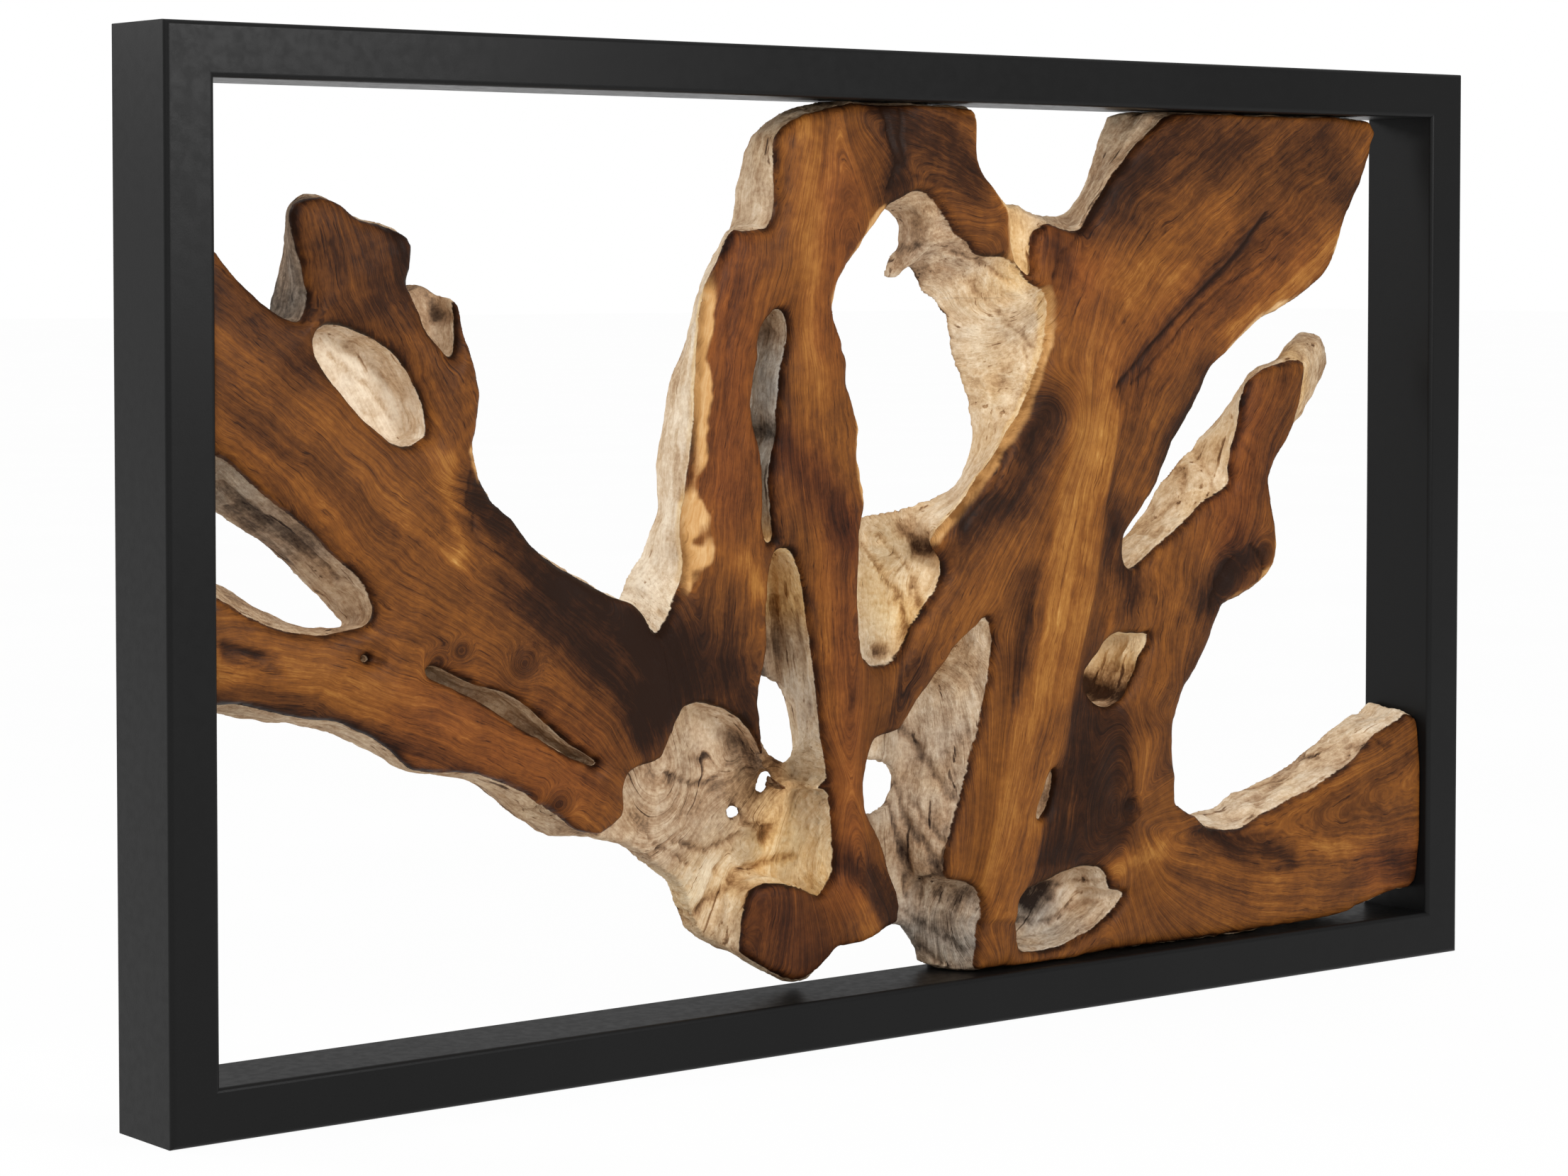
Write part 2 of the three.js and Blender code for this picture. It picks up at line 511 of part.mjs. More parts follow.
// Loose dowels across the joints: middle point, direction in the panel, half length.
const DOWEL_RADIUS = 4;
const DOWELS = [
  { name: 'dowel_left_fork', x: -352, z: -42, dx: 0.75, dz: 0.66, half: 12 },
  { name: 'dowel_trunk_branch', x: -166, z: -70, dx: 1, dz: 0.15, half: 20 },
  { name: 'dowel_arch_trunk', x: 0, z: 238, dx: 1, dz: 0.2, half: 20 },
  { name: 'dowel_bridge', x: 123, z: 180, dx: 1, dz: 0, half: 14 },
  { name: 'dowel_knob', x: -41, z: -228, dx: 1, dz: 0, half: 15 },
  { name: 'dowel_side_branch', x: 234, z: -102, dx: 0.4, dz: 0.92, half: 15 },
  { name: 'dowel_lower_branch', x: 240, z: -198, dx: 0.4, dz: -0.92, half: 15 },
];
const DOWEL_Y = (ROOT_FRONT + ROOT_BACK) / 2;

function dowelBar({ x, z, dx, dz, half }, radius, extra) {
  const long = Math.hypot(dx, dz);
  const reach = (half + extra) / long;
  const from = [x - dx * reach, DOWEL_Y, z - dz * reach];
  const to = [x + dx * reach, DOWEL_Y, z + dz * reach];
  return barSolid(from, to, radius, 20);
}

for (const dowel of DOWELS) {
  root = root.subtract(dowelBar(dowel, DOWEL_RADIUS + 0.3, 1));
}

// ---------- tabs and screws ----------

const TAB_THICK = 3;
const TAB_BACK = ROOT_BACK + 0.3 + TAB_THICK;
const TAB_REACH = 34;
const TAB_HALF = 21;
const SCREW_IN = 22;
const SCREW_HALF_SPACING = 11;
const SCREW_RADIUS = 2;
const SCREW_LONG = 26;

// Place along the frame's inner edge; "turn" brings the tab's reach (+Z) towards the middle.
const TABS = [
  { name: 'left_upper', x: -INNER_X, z: 122, turn: 90 },
  { name: 'left_lower', x: -INNER_X, z: -40, turn: 90 },
  { name: 'top_arch', x: 42, z: INNER_Z, turn: 180 },
  { name: 'top_right', x: 322, z: INNER_Z, turn: 180 },
  { name: 'right_lower', x: INNER_X, z: -196, turn: -90 },
  { name: 'bottom_ridge', x: 92, z: -INNER_Z, turn: 0 },
  { name: 'bottom_right', x: 330, z: -INNER_Z, turn: 0 },
];

function tabSolid() {
  const shape = new THREE.Shape();
  shape.moveTo(-TAB_HALF, JOIN_GAP);
  shape.lineTo(TAB_HALF, JOIN_GAP);
  shape.lineTo(TAB_HALF, TAB_REACH - 6);
  shape.absarc(TAB_HALF - 6, TAB_REACH - 6, 6, 0, Math.PI / 2, false);
  shape.lineTo(6 - TAB_HALF, TAB_REACH);
  shape.absarc(6 - TAB_HALF, TAB_REACH - 6, 6, Math.PI / 2, Math.PI, false);
  for (const sign of [-1, 1]) {
    const hole = new THREE.Path();
    hole.absarc(sign * SCREW_HALF_SPACING, SCREW_IN, SCREW_RADIUS + 0.4, 0, Math.PI * 2, true);
    shape.holes.push(hole);
  }
  const plate = new THREE.ExtrudeGeometry(shape, { depth: TAB_THICK, bevelEnabled: false, curveSegments: 6 });
  plate.rotateX(Math.PI / 2);
  plate.translate(0, TAB_BACK, 0);
  return toSolid(plate);
}

// Pan head wood screw with a cross recess, head towards +Y.
function screwSolid() {
  const seat = TAB_BACK + 0.2;
  const profile = [
    [0, seat - SCREW_LONG], [SCREW_RADIUS, seat - SCREW_LONG + 5],
    [SCREW_RADIUS, seat], [4, seat], [4, seat + 0.9], [3.2, seat + 2], [0, seat + 2.4],
  ];
  const screw = new THREE.LatheGeometry(profile.map(([x, y]) => new THREE.Vector2(x, y)), 12);
  const top = seat + 3;
  const cross = boxSolid([-2.1, seat + 1.1, -0.45], [2.1, top, 0.45])
    .add(boxSolid([-0.45, seat + 1.1, -2.1], [0.45, top, 2.1]));
  let solid = toSolid(screw);
  solid = solid.volume() < 0 ? toSolid(screw.scale(-1, 1, 1)) : solid;
  return solid.subtract(cross);
}

const tab = tabSolid();
const screw = screwSolid();
const pilotTop = TAB_BACK;
const pilot = barSolid([0, pilotTop - SCREW_LONG - 1, 0], [0, pilotTop + 1, 0], SCREW_RADIUS + 0.4, 16);

const tabMeshes = [];
for (const { name, x, z, turn } of TABS) {
  const place = (solid) => solid.rotate([0, turn, 0]).translate([x, 0, z]);
  tabMeshes.push([`tab_${name}`, place(tab), black]);
  for (const [label, sign] of [['a', -1], ['b', 1]]) {
    const inTab = (solid) => place(solid.translate([sign * SCREW_HALF_SPACING, 0, SCREW_IN]));
    root = root.subtract(inTab(pilot));
    tabMeshes.push([`screw_${name}_${label}`, inTab(screw), zinc]);
  }
}

// ---------- naming the slices ----------

// One point inside each slice, at mid thickness.
const SLICES = [
  { name: 'root_upper_left', x: -320, z: 30, material: teak },
  { name: 'root_lower_left', x: -400, z: -55, material: teakPale },
  { name: 'root_trunk', x: -110, z: 20, material: teak },
  { name: 'root_arch', x: 40, z: 245, material: teak },
  { name: 'root_knob', x: -80, z: -225, material: teak },
  { name: 'root_right', x: 200, z: 120, material: teakPale },
  { name: 'root_side_branch', x: 300, z: -10, material: teak },
  { name: 'root_lower_right', x: 350, z: -230, material: teakPale },
];

const pieces = root.decompose();
for (const { name, x, z, material } of SLICES) {
  const probe = boxSolid([x - 1, DOWEL_Y - 1, z - 1], [x + 1, DOWEL_Y + 1, z + 1]);
  const piece = pieces.find((solid) => solid.intersect(probe).volume() > 0.1);
  if (!piece) {
    throw new Error(`no slice at ${name}`);
  }
  addMesh(name, toGeometry(piece.simplify(SMOOTHED).translate([0, 0, DROP])), material);
}

for (const dowel of DOWELS) {
  addMesh(dowel.name, toGeometry(dowelBar(dowel, DOWEL_RADIUS, 0).translate([0, 0, DROP])), birch);
}
for (const [name, solid, material] of tabMeshes) {
  addMesh(name, toGeometry(solid.translate([0, 0, DROP])), material);
}

export default part;
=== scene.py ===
"""Looks for the teak root panel: camera, light, carved root slices and materials."""
import json
import math

import bpy
import numpy as np
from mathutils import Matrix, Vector, kdtree

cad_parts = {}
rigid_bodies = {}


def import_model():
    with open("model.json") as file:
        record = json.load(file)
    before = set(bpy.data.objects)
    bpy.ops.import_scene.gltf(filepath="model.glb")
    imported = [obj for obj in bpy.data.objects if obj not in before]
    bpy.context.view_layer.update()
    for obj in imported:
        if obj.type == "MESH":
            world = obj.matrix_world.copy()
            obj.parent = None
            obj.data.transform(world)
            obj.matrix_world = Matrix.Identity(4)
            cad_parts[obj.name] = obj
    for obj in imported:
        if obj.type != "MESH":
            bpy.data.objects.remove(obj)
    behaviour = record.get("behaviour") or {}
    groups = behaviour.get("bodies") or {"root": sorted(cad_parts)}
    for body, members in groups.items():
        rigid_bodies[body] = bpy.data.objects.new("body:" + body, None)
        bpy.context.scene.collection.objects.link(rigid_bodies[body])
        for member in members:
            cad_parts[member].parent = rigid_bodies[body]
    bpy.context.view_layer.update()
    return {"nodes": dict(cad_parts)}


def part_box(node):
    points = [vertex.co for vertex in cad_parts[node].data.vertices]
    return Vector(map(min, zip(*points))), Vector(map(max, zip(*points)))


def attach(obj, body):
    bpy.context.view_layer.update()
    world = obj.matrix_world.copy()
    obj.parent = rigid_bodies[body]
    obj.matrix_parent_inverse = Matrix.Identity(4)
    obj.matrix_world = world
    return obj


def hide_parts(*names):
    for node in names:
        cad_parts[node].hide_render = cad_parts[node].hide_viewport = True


for leftover in list(bpy.data.objects):
    bpy.data.objects.remove(leftover, do_unlink=True)

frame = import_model()
nodes = frame["nodes"]

MM = 0.001
# Places on the panel are written in millimetres from the middle of the frame: x to the right, z up.
MIDDLE_Z = -285
FRONT_Y = -54.0
BACK_Y = -8.0
INNER_X = 470
INNER_Z = 270
FLOOR_Z = MIDDLE_Z - 300.5
VOXEL = 0.00185


def new_object(name, data):
    piece = bpy.data.objects.new(name, data)
    bpy.context.scene.collection.objects.link(piece)
    return piece


# ---------- camera, floor and light ----------

CAMERA_PLACE = (-1.535, -1.9063, -0.1147)
CAMERA_PITCH = 90 - 2.389
CAMERA_TURN = -38.108
CAMERA_LENS = 91.16
CAMERA_SENSOR = 36
CAMERA_SHIFT = -0.0999


def add_camera():
    data = bpy.data.cameras.new("camera")
    camera = new_object("camera", data)
    camera.location = CAMERA_PLACE
    camera.rotation_euler = (math.radians(CAMERA_PITCH), 0, math.radians(CAMERA_TURN))
    data.sensor_fit = "HORIZONTAL"
    data.sensor_width = CAMERA_SENSOR
    data.lens = CAMERA_LENS
    data.shift_y = CAMERA_SHIFT
    bpy.context.scene.camera = camera


def add_floor():
    mesh = bpy.data.meshes.new("floor")
    half = 30
    level = MM * FLOOR_Z
    corners = [(-half, -half, level), (half, -half, level), (half, half, level), (-half, half, level)]
    mesh.from_pydata(corners, [], [(0, 1, 2, 3)])
    mesh.materials.append(floor_material())
    floor = new_object("floor", mesh)


def add_area_light(name, place, aim, side, power):
    """A square lamp, its side in metres, that the camera doesn't see."""
    data = bpy.data.lights.new(name, "AREA")
    data.shape = "SQUARE"
    data.size = side
    data.energy = power
    lamp = new_object(name, data)
    lamp.location = place
    lamp.rotation_mode = "QUATERNION"
    lamp.rotation_quaternion = (Vector(aim) - Vector(place)).to_track_quat("-Z", "Y")
    lamp.visible_camera = False


# The room is brightest towards this side, and this strong on its dark and its bright side.
BRIGHT_SIDE = (-0.55, -0.35, 0.75)
SPREAD_FROM = -0.6
SPREAD_TO = 0.9
ROOM_DARK = 0.30
ROOM_BRIGHT = 0.94


def add_world():
    """Plain white to the camera; a softly graded white room as light."""
    n = Nodes(bpy.data.worlds.new("studio"), "ShaderNodeOutputWorld")
    bpy.context.scene.world = n.owner
    way = n.put("ShaderNodeTexCoord").outputs["Generated"]
    facing = n.combine("ShaderNodeVectorMath", "DOT_PRODUCT", way, BRIGHT_SIDE)["Value"]
    spread = n.put("ShaderNodeMapRange", Value=facing)
    for i, value in enumerate((SPREAD_FROM, SPREAD_TO, ROOM_DARK, ROOM_BRIGHT), 1):
        spread.inputs[i].default_value = value
    room = n.put("ShaderNodeBackground", Color=(1, 1, 1, 1), Strength=spread.outputs[0])
    seen = n.put("ShaderNodeBackground", Color=(1, 1, 1, 1), Strength=1.0)
    n.finish(n.mix_shaders(n.put("ShaderNodeLightPath").outputs["Is Camera Ray"], room, seen))
    bpy.context.scene.view_settings.view_transform = "Standard"
    bpy.context.scene.view_settings.look = "None"


# ---------- material helpers ----------

class Nodes:
    """Short way to write the nodes of a material or a world."""

    def __init__(self, owner, output="ShaderNodeOutputMaterial"):
        self.owner = owner
        owner.use_nodes = True
        self.tree = owner.node_tree
        self.tree.nodes.clear()
        self.out = self.tree.nodes.new(output)

    def put(self, kind, **inputs):
        """A new node; an input called Base_Color is its socket Base Color."""
        node = self.tree.nodes.new(kind)
        for key, value in inputs.items():
            self.feed(node.inputs[key.replace("_", " ")], value)
        return node

    def feed(self, socket, value):
        if isinstance(value, bpy.types.NodeSocket):
            self.tree.links.new(value, socket)
        else:
            socket.default_value = value

    def combine(self, kind, operation, first, second):
        """The outputs of a node that works something out from two inputs."""
        node = self.tree.nodes.new(kind)
        node.operation = operation
        self.feed(node.inputs[0], first)
        self.feed(node.inputs[1], second)
        return node.outputs

    def math(self, operation, first, second):
        return self.combine("ShaderNodeMath", operation, first, second)[0]

    def swayed(self, value, *waves):
        """The value moved up and down by noise; a wave is a noise and its strength."""
        for wave, strength in waves:
            sway = self.math("MULTIPLY", self.math("SUBTRACT", wave, 0.5), strength)
            value = self.math("ADD", value, sway)
        return value

    def weighed(self, first, first_weight, second, second_weight):
        return self.math(
            "ADD", self.math("MULTIPLY", first, first_weight), self.math("MULTIPLY", second, second_weight),
        )

    def mix(self, fac, first, second):
        node = self.tree.nodes.new("ShaderNodeMix")
        node.data_type = "RGBA"
        self.feed(node.inputs[0], fac)
        self.feed(node.inputs[6], first)
        self.feed(node.inputs[7], second)
        return node.outputs[2]

    def ramp(self, fac, stops):
        """A colour ramp; each stop is a place from 0 to 1 and a colour."""
        node = self.tree.nodes.new("ShaderNodeValToRGB")
        self.feed(node.inputs[0], fac)
        elements = node.color_ramp.elements
        while len(elements) < len(stops):
            elements.new(0.5)
        for element, (place, colour) in zip(elements, stops):
            element.position = place
            element.color = colour
        return node.outputs[0]

    def remap(self, value, low, high, to_low=0.0, to_high=1.0):
        node = self.tree.nodes.new("ShaderNodeMapRange")
        node.interpolation_type = "SMOOTHSTEP"
        for i, item in enumerate((value, low, high, to_low, to_high)):
            self.feed(node.inputs[i], item)
        return node.outputs[0]

    def attribute(self, name):
        node = self.tree.nodes.new("ShaderNodeAttribute")
        node.attribute_name = name
        return node

    def stretched(self, vector, scale):
        return self.combine("ShaderNodeVectorMath", "MULTIPLY", vector, scale)[0]

    def noise(self, vector, scale, detail=4.0, rough=0.55):
        node = self.put(
            "ShaderNodeTexNoise", Vector=vector, Scale=scale, Detail=detail, Roughness=rough,
        )
        return node.outputs["Fac"]

    def fibres(self, vector, stretch, detail, rough):
        """Noise drawn out along the grain; stretch counts waves per metre along, across and inward."""
        return self.noise(self.stretched(vector, stretch), 1.0, detail, rough)

    def mix_shaders(self, fac, first, second):
        node = self.put("ShaderNodeMixShader", Fac=fac)
        self.feed(node.inputs[1], first.outputs[0])
        self.feed(node.inputs[2], second.outputs[0])
        return node

    def finish(self, shader):
        self.feed(self.out.inputs["Surface"], shader.outputs[0])
        return self.owner


def material_nodes(name):
    return Nodes(bpy.data.materials.new(name))


def shade(red, green, blue):
    """A colour given as 0-255 screen values, as linear light."""
    def linear(value):
        value /= 255
        return value / 12.92 if value <= 0.04045 else ((value + 0.055) / 1.055) ** 2.4
    return (linear(red), linear(green), linear(blue), 1)


def floor_material():
    """White, mostly glowing, so that it runs into the background."""
    n = material_nodes("floor_white")
    place = n.put("ShaderNodeNewGeometry").outputs["Position"]
    cloud = n.noise(place, 3.0, 2.0)
    colour = n.ramp(cloud, [(0, (0.985, 0.985, 0.985, 1)), (1, (1, 1, 1, 1))])
    matt = n.put("ShaderNodeBsdfDiffuse", Color=colour)
    glow = n.put("ShaderNodeEmission", Color=colour, Strength=1.0)
    return n.finish(n.mix_shaders(0.97, matt, glow))


def paint_material():
    """Satin black powder coat with fine orange peel and faint cloudiness."""
    n = material_nodes("black_powder_coat")
    place = n.put("ShaderNodeTexCoord").outputs["Object"]
    cloud = n.noise(place, 7.0, 3.0)
    fleck = n.noise(place, 900.0, 2.0, 0.6)
    dust = n.noise(place, 160.0, 3.0, 0.6)
    colour = n.ramp(
        n.weighed(cloud, 0.5, fleck, 0.5),
        [(0.3, shade(12, 12, 12)), (0.7, shade(18, 18, 18))],
    )
    rough = n.remap(dust, 0.3, 0.7, 0.34, 0.42)
    bump = n.put("ShaderNodeBump", Strength=0.12, Distance=0.0003, Height=fleck)
    shader = n.put(
        "ShaderNodeBsdfPrincipled",
        Base_Color=colour, Roughness=rough, Normal=bump.outputs[0], Specular_IOR_Level=0.14,
    )
    return n.finish(shader)


def zinc_material():
    n = material_nodes("zinc_screw")
    place = n.put("ShaderNodeTexCoord").outputs["Object"]
    cloud = n.noise(place, 400.0, 3.0)
    colour = n.ramp(cloud, [(0.3, shade(150, 152, 155)), (0.7, shade(196, 196, 194))])
    rough = n.remap(cloud, 0.3, 0.7, 0.25, 0.42)
    shader = n.put("ShaderNodeBsdfPrincipled", Base_Color=colour, Roughness=rough, Metallic=1.0)
    return n.finish(shader)


def dowel_material():
    n = material_nodes("beech_dowel")
    place = n.put("ShaderNodeTexCoord").outputs["Object"]
    grain = n.noise(n.stretched(place, (60, 900, 900)), 1.0, 4.0)
    colour = n.ramp(grain, [(0.3, shade(176, 138, 92)), (0.7, shade(214, 182, 136))])
    shader = n.put("ShaderNodeBsdfPrincipled", Base_Color=colour, Roughness=0.7)
    return n.finish(shader)


def drifting_grain(n, place):
    """The grain direction carried by the mesh, bent a little so that no line runs dead even."""
    flow = n.attribute("flow").outputs["Vector"]
    drift = n.put("ShaderNodeTexNoise", Vector=place, Scale=30.0, Detail=3.0).outputs["Color"]
    return n.combine("ShaderNodeVectorMath", "ADD", flow, n.stretched(drift, (0.02, 0.01, 0.01)))[0]


def polished_colour(n, place, grain, streaks, pores, tone, red, sap):
    """Oiled heartwood from its tone, redder where red is high, pale where sap is high."""
    bands = n.fibres(grain, (4, 60, 30), 3.0, 0.6)
    mottle = n.noise(place, 38.0, 5.0, 0.62)
    smudge = n.noise(place, 150.0, 4.0, 0.6)
    level = n.swayed(tone, (bands, 0.50), (streaks, 0.62), (pores, 0.34), (mottle, 0.40), (smudge, 0.26))
    vessel = n.fibres(grain, (30, 800, 500), 2.0, 0.5)
    level = n.math("SUBTRACT", level, n.remap(vessel, 0.62, 0.74, 0.0, 0.22))
    brown = n.ramp(level, [
        (0.0, shade(34, 17, 7)), (0.18, shade(56, 30, 13)), (0.38, shade(93, 54, 23)),
        (0.56, shade(124, 74, 29)), (0.78, shade(158, 106, 48)), (1.0, shade(200, 154, 88)),
    ])
    reddish = n.ramp(level, [
        (0.0, shade(34, 15, 7)), (0.25, shade(76, 38, 17)),
        (0.55, shade(126, 68, 30)), (1.0, shade(186, 118, 60)),
    ])
    sapwood = n.ramp(level, [
        (0.0, shade(126, 84, 42)), (0.45, shade(190, 142, 86)), (1.0, shade(230, 198, 150)),
    ])
    return n.mix(sap, n.mix(red, brown, reddish), sapwood)


def bare_colour(n, place, grain, threads, pits, cream, grey, yellow):
    """Weathered bare wood from its paleness, which also carries painted shade and highlight, with grey and
    yellow stains.
    """
    blotch = n.noise(place, 46.0, 5.0, 0.65)
    weather = n.swayed(cream, (threads, 0.55), (blotch, 0.75), (pits, 0.50))
    split = n.fibres(grain, (14, 150, 150), 3.0, 0.55)
    weather = n.math("SUBTRACT", weather, n.remap(split, 0.62, 0.72, 0.0, 0.40))
    plain = n.ramp(weather, [
        (0.0, shade(50, 36, 28)), (0.22, shade(104, 81, 62)), (0.45, shade(164, 132, 101)),
        (0.68, shade(204, 178, 147)), (1.0, shade(240, 224, 200)),
    ])
    slate = n.ramp(weather, [
        (0.0, shade(36, 31, 28)), (0.3, shade(104, 96, 87)),
        (0.6, shade(160, 152, 142)), (1.0, shade(214, 208, 198)),
    ])
    honey = n.ramp(weather, [
        (0.0, shade(84, 52, 26)), (0.3, shade(150, 106, 60)),
        (0.6, shade(208, 168, 112)), (1.0, shade(240, 216, 172)),
    ])
    return n.mix(yellow, n.mix(grey, plain, slate), honey)


def teak_material():
    """One material for all slices: polished face, sapwood rim and bare sides, chosen by attributes."""
    n = material_nodes("teak_root")
    place = n.put("ShaderNodeTexCoord").outputs["Object"]
    front = n.attribute("front_paint").outputs
    side = n.attribute("side_paint").outputs
    tone, red, sap = n.put("ShaderNodeSeparateColor", Color=front["Color"]).outputs
    raw, cream, yellow = n.put("ShaderNodeSeparateColor", Color=side["Color"]).outputs
    grey = front["Alpha"]
    nibble = n.noise(place, 260.0, 3.0, 0.6)
    raw = n.remap(n.swayed(raw, (nibble, 0.16)), 0.46, 0.54)
    fray = n.noise(place, 120.0, 4.0, 0.6)
    sap = n.remap(n.swayed(sap, (fray, 0.4)), 0.15, 0.80)

    grain = drifting_grain(n, place)
    streaks = n.fibres(grain, (16, 420, 200), 4.0, 0.65)
    pores = n.fibres(grain, (120, 1900, 1200), 2.0, 0.6)
    threads = n.fibres(grain, (26, 340, 340), 4.0, 0.68)
    pits = n.noise(place, 360.0, 3.0, 0.6)
    polished = polished_colour(n, place, grain, streaks, pores, tone, red, sap)
    bare = bare_colour(n, place, grain, threads, pits, cream, grey, yellow)

    rough = n.math("ADD", n.remap(streaks, 0.3, 0.7, 0.40, 0.54), n.math("MULTIPLY", raw, 0.36))
    height = n.tree.nodes.new("ShaderNodeMix")
    n.feed(height.inputs[0], raw)
    n.feed(height.inputs[2], n.weighed(streaks, 0.5, pores, 0.4))
    n.feed(height.inputs[3], n.weighed(threads, 2.4, pits, 1.6))
    bump = n.put("ShaderNodeBump", Strength=0.7, Distance=0.0007, Height=height.outputs[0])
    shader = n.put(
        "ShaderNodeBsdfPrincipled",
        Base_Color=n.mix(raw, polished, bare), Roughness=rough, Normal=bump.outputs[0],
        Specular_IOR_Level=0.09,
    )
    return n.finish(shader)


# ---------- smooth noise on arrays ----------

def corner_value(ix, iy, iz, seed):
    key = (ix.astype(np.int64) * 374761393 + iy.astype(np.int64) * 668265263
           + iz.astype(np.int64) * 1274126177 + seed * 974634777) & 0xFFFFFFFF
    key = ((key ^ (key >> 13)) * 1103515245) & 0xFFFFFFFF
    key = ((key ^ (key >> 16)) * 747796405) & 0xFFFFFFFF
    return ((key ^ (key >> 15)) & 0xFFFF) / 32767.5 - 1


def value_noise(points, seed):
    base = np.floor(points)
    part = points - base
    part = part * part * (3 - 2 * part)
    ix, iy, iz = base.astype(np.int64).T
    total = np.zeros(len(points))
    for dx in (0, 1):
        wx = part[:, 0] if dx else 1 - part[:, 0]
        for dy in (0, 1):
            wy = part[:, 1] if dy else 1 - part[:, 1]
            for dz in (0, 1):
                wz = part[:, 2] if dz else 1 - part[:, 2]
                total += wx * wy * wz * corner_value(ix + dx, iy + dy, iz + dz, seed)
    return total


def cloud(points, size, seed, octaves=3):
    """Cloudy noise from -1 to 1 with lumps of the given size."""
    total = np.zeros(len(points))
    weight = 1.0
    scaled = points / size
    for octave in range(octaves):
        total += weight * value_noise(scaled, seed + octave * 17)
        scaled = scaled * 2.03
        weight *= 0.5
    return total / (2 - 2 * weight)


def ridged(points, size, seed, octaves=3):
    return 1 - 2 * np.abs(cloud(points, size, seed, octaves))


def smoothstep(low, high, value):
    part = np.clip((value - low) / (high - low), 0, 1)
    return part * part * (3 - 2 * part)


# ---------- strokes on the panel ----------

def along(points, stroke):
    """Distance, length along and signed side of each point from a line through the stroke's points."""
    stroke = np.asarray(stroke, float)
    best = np.full(len(points), 1e9)
    run = np.zeros(len(points))
    side = np.zeros(len(points))
    done = 0.0
    for start, end in zip(stroke[:-1], stroke[1:]):
        way = end - start
        length = math.hypot(*way)
        way /= length
        rel = points - start
        part = rel @ way
        across = rel[:, 0] * way[1] - rel[:, 1] * way[0]
        held = np.clip(part, 0, length)
        distance = np.hypot(part - held, across)
        nearer = distance < best
        best[nearer] = distance[nearer]
        run[nearer] = (done + part)[nearer]
        side[nearer] = across[nearer]
        done += length
    return best, run, side


# Grain runs along these lines, in x, z. The number before a line names the line whose grain it carries on.
GRAIN = [
    (None, [(-480, 150), (-400, 92), (-330, 35), (-250, -22), (-185, -80), (-165, -125)]),
    (0, [(-388, 215), (-372, 160), (-345, 110), (-322, 60)]),
    (0, [(-480, -38), (-400, -52), (-330, -78), (-250, -112), (-200, -145)]),
    (None, [(-60, 270), (-85, 190), (-108, 100), (-118, 20), (-125, -60), (-105, -115)]),
    (3, [(-40, 262), (-52, 150), (-45, 60), (-36, 0), (-36, -100), (-30, -200), (-5, -238)]),
    (None, [(-15, 262), (40, 248), (85, 226)]),
    (None, [(112, 205), (116, 160)]),
    (None, [(400, 215), (330, 165), (270, 122), (225, 60), (185, -20), (165, -110), (150, -200)]),
    (7, [(370, 262), (290, 210), (230, 165), (190, 120), (168, 60), (150, -20), (125, -120), (85, -238)]),
    (8, [(270, 262), (200, 215), (160, 165), (146, 120)]),
    (8, [(140, 70), (80, -5), (20, -90), (10, -120)]),
    (7, [(245, -105), (215, -160), (190, -210), (140, -265)]),
    (7, [(345, 100), (318, 60), (302, 0), (276, -60), (240, -118)]),
    (None, [(480, -230), (400, -232), (320, -226), (240, -206), (195, -180)]),
    (None, [(-50, -145), (-80, -200), (-88, -255)]),
    (None, [(50, -100), (52, -170), (45, -262)]),
]

# Small knots: x, z, radius.
KNOTS = [
    (-325, -52, 5), (-310, -45, 4), (-268, -55, 8), (200, -176, 5), (-243, -137, 5),
    (24, 0, 8), (284, -32, 9), (-86, -177, 6), (320, -18, 6),
]

# Lines that carry on no other's grain are set this far apart, along and across, so that they don't match.
GRAIN_APART = (47.0, 31.0)
GRAIN_NEAR = 8
GRAIN_PULL = 1.6


def tied_shift(stroke, parent, parent_shift):
    """What to add along and across a line so that its grain meets its parent's at its middle."""
    middle = np.array([stroke[len(stroke) // 2]], float)
    _, parent_run, parent_side = along(middle, parent)
    _, run, side = along(middle, stroke)
    return parent_shift[0] + parent_run[0] - run[0], parent_shift[1] + parent_side[0] - side[0]


def grain_flow(places):
    """Position along, across and into the grain at each place, in metres."""
    flat = places[:, [0, 2]]
    total = np.zeros(len(flat))
    run = np.zeros(len(flat))
    side = np.zeros(len(flat))
    shifts = []
    for i, (tied, stroke) in enumerate(GRAIN):
        if tied is None:
            shift = (GRAIN_APART[0] * i, GRAIN_APART[1] * i)
        else:
            shift = tied_shift(stroke, GRAIN[tied][1], shifts[tied])
        shifts.append(shift)
        distance, u, v = along(flat, stroke)
        weight = 1 / (distance ** 2 + GRAIN_NEAR ** 2) ** GRAIN_PULL
        total += weight
        run += weight * (u + shift[0])
        side += weight * (v + shift[1])
    run /= total
    side /= total
    for x, z, radius in KNOTS:
        distance = np.hypot(flat[:, 0] - x, flat[:, 1] - z)
        held = 0.8 * np.exp(-(distance / (1.3 * radius)) ** 2)
        side = side * (1 - held) + held * distance * 1.2
        run = run * (1 - held) + held * 12
    return np.column_stack([run, side, places[:, 1]]) * MM


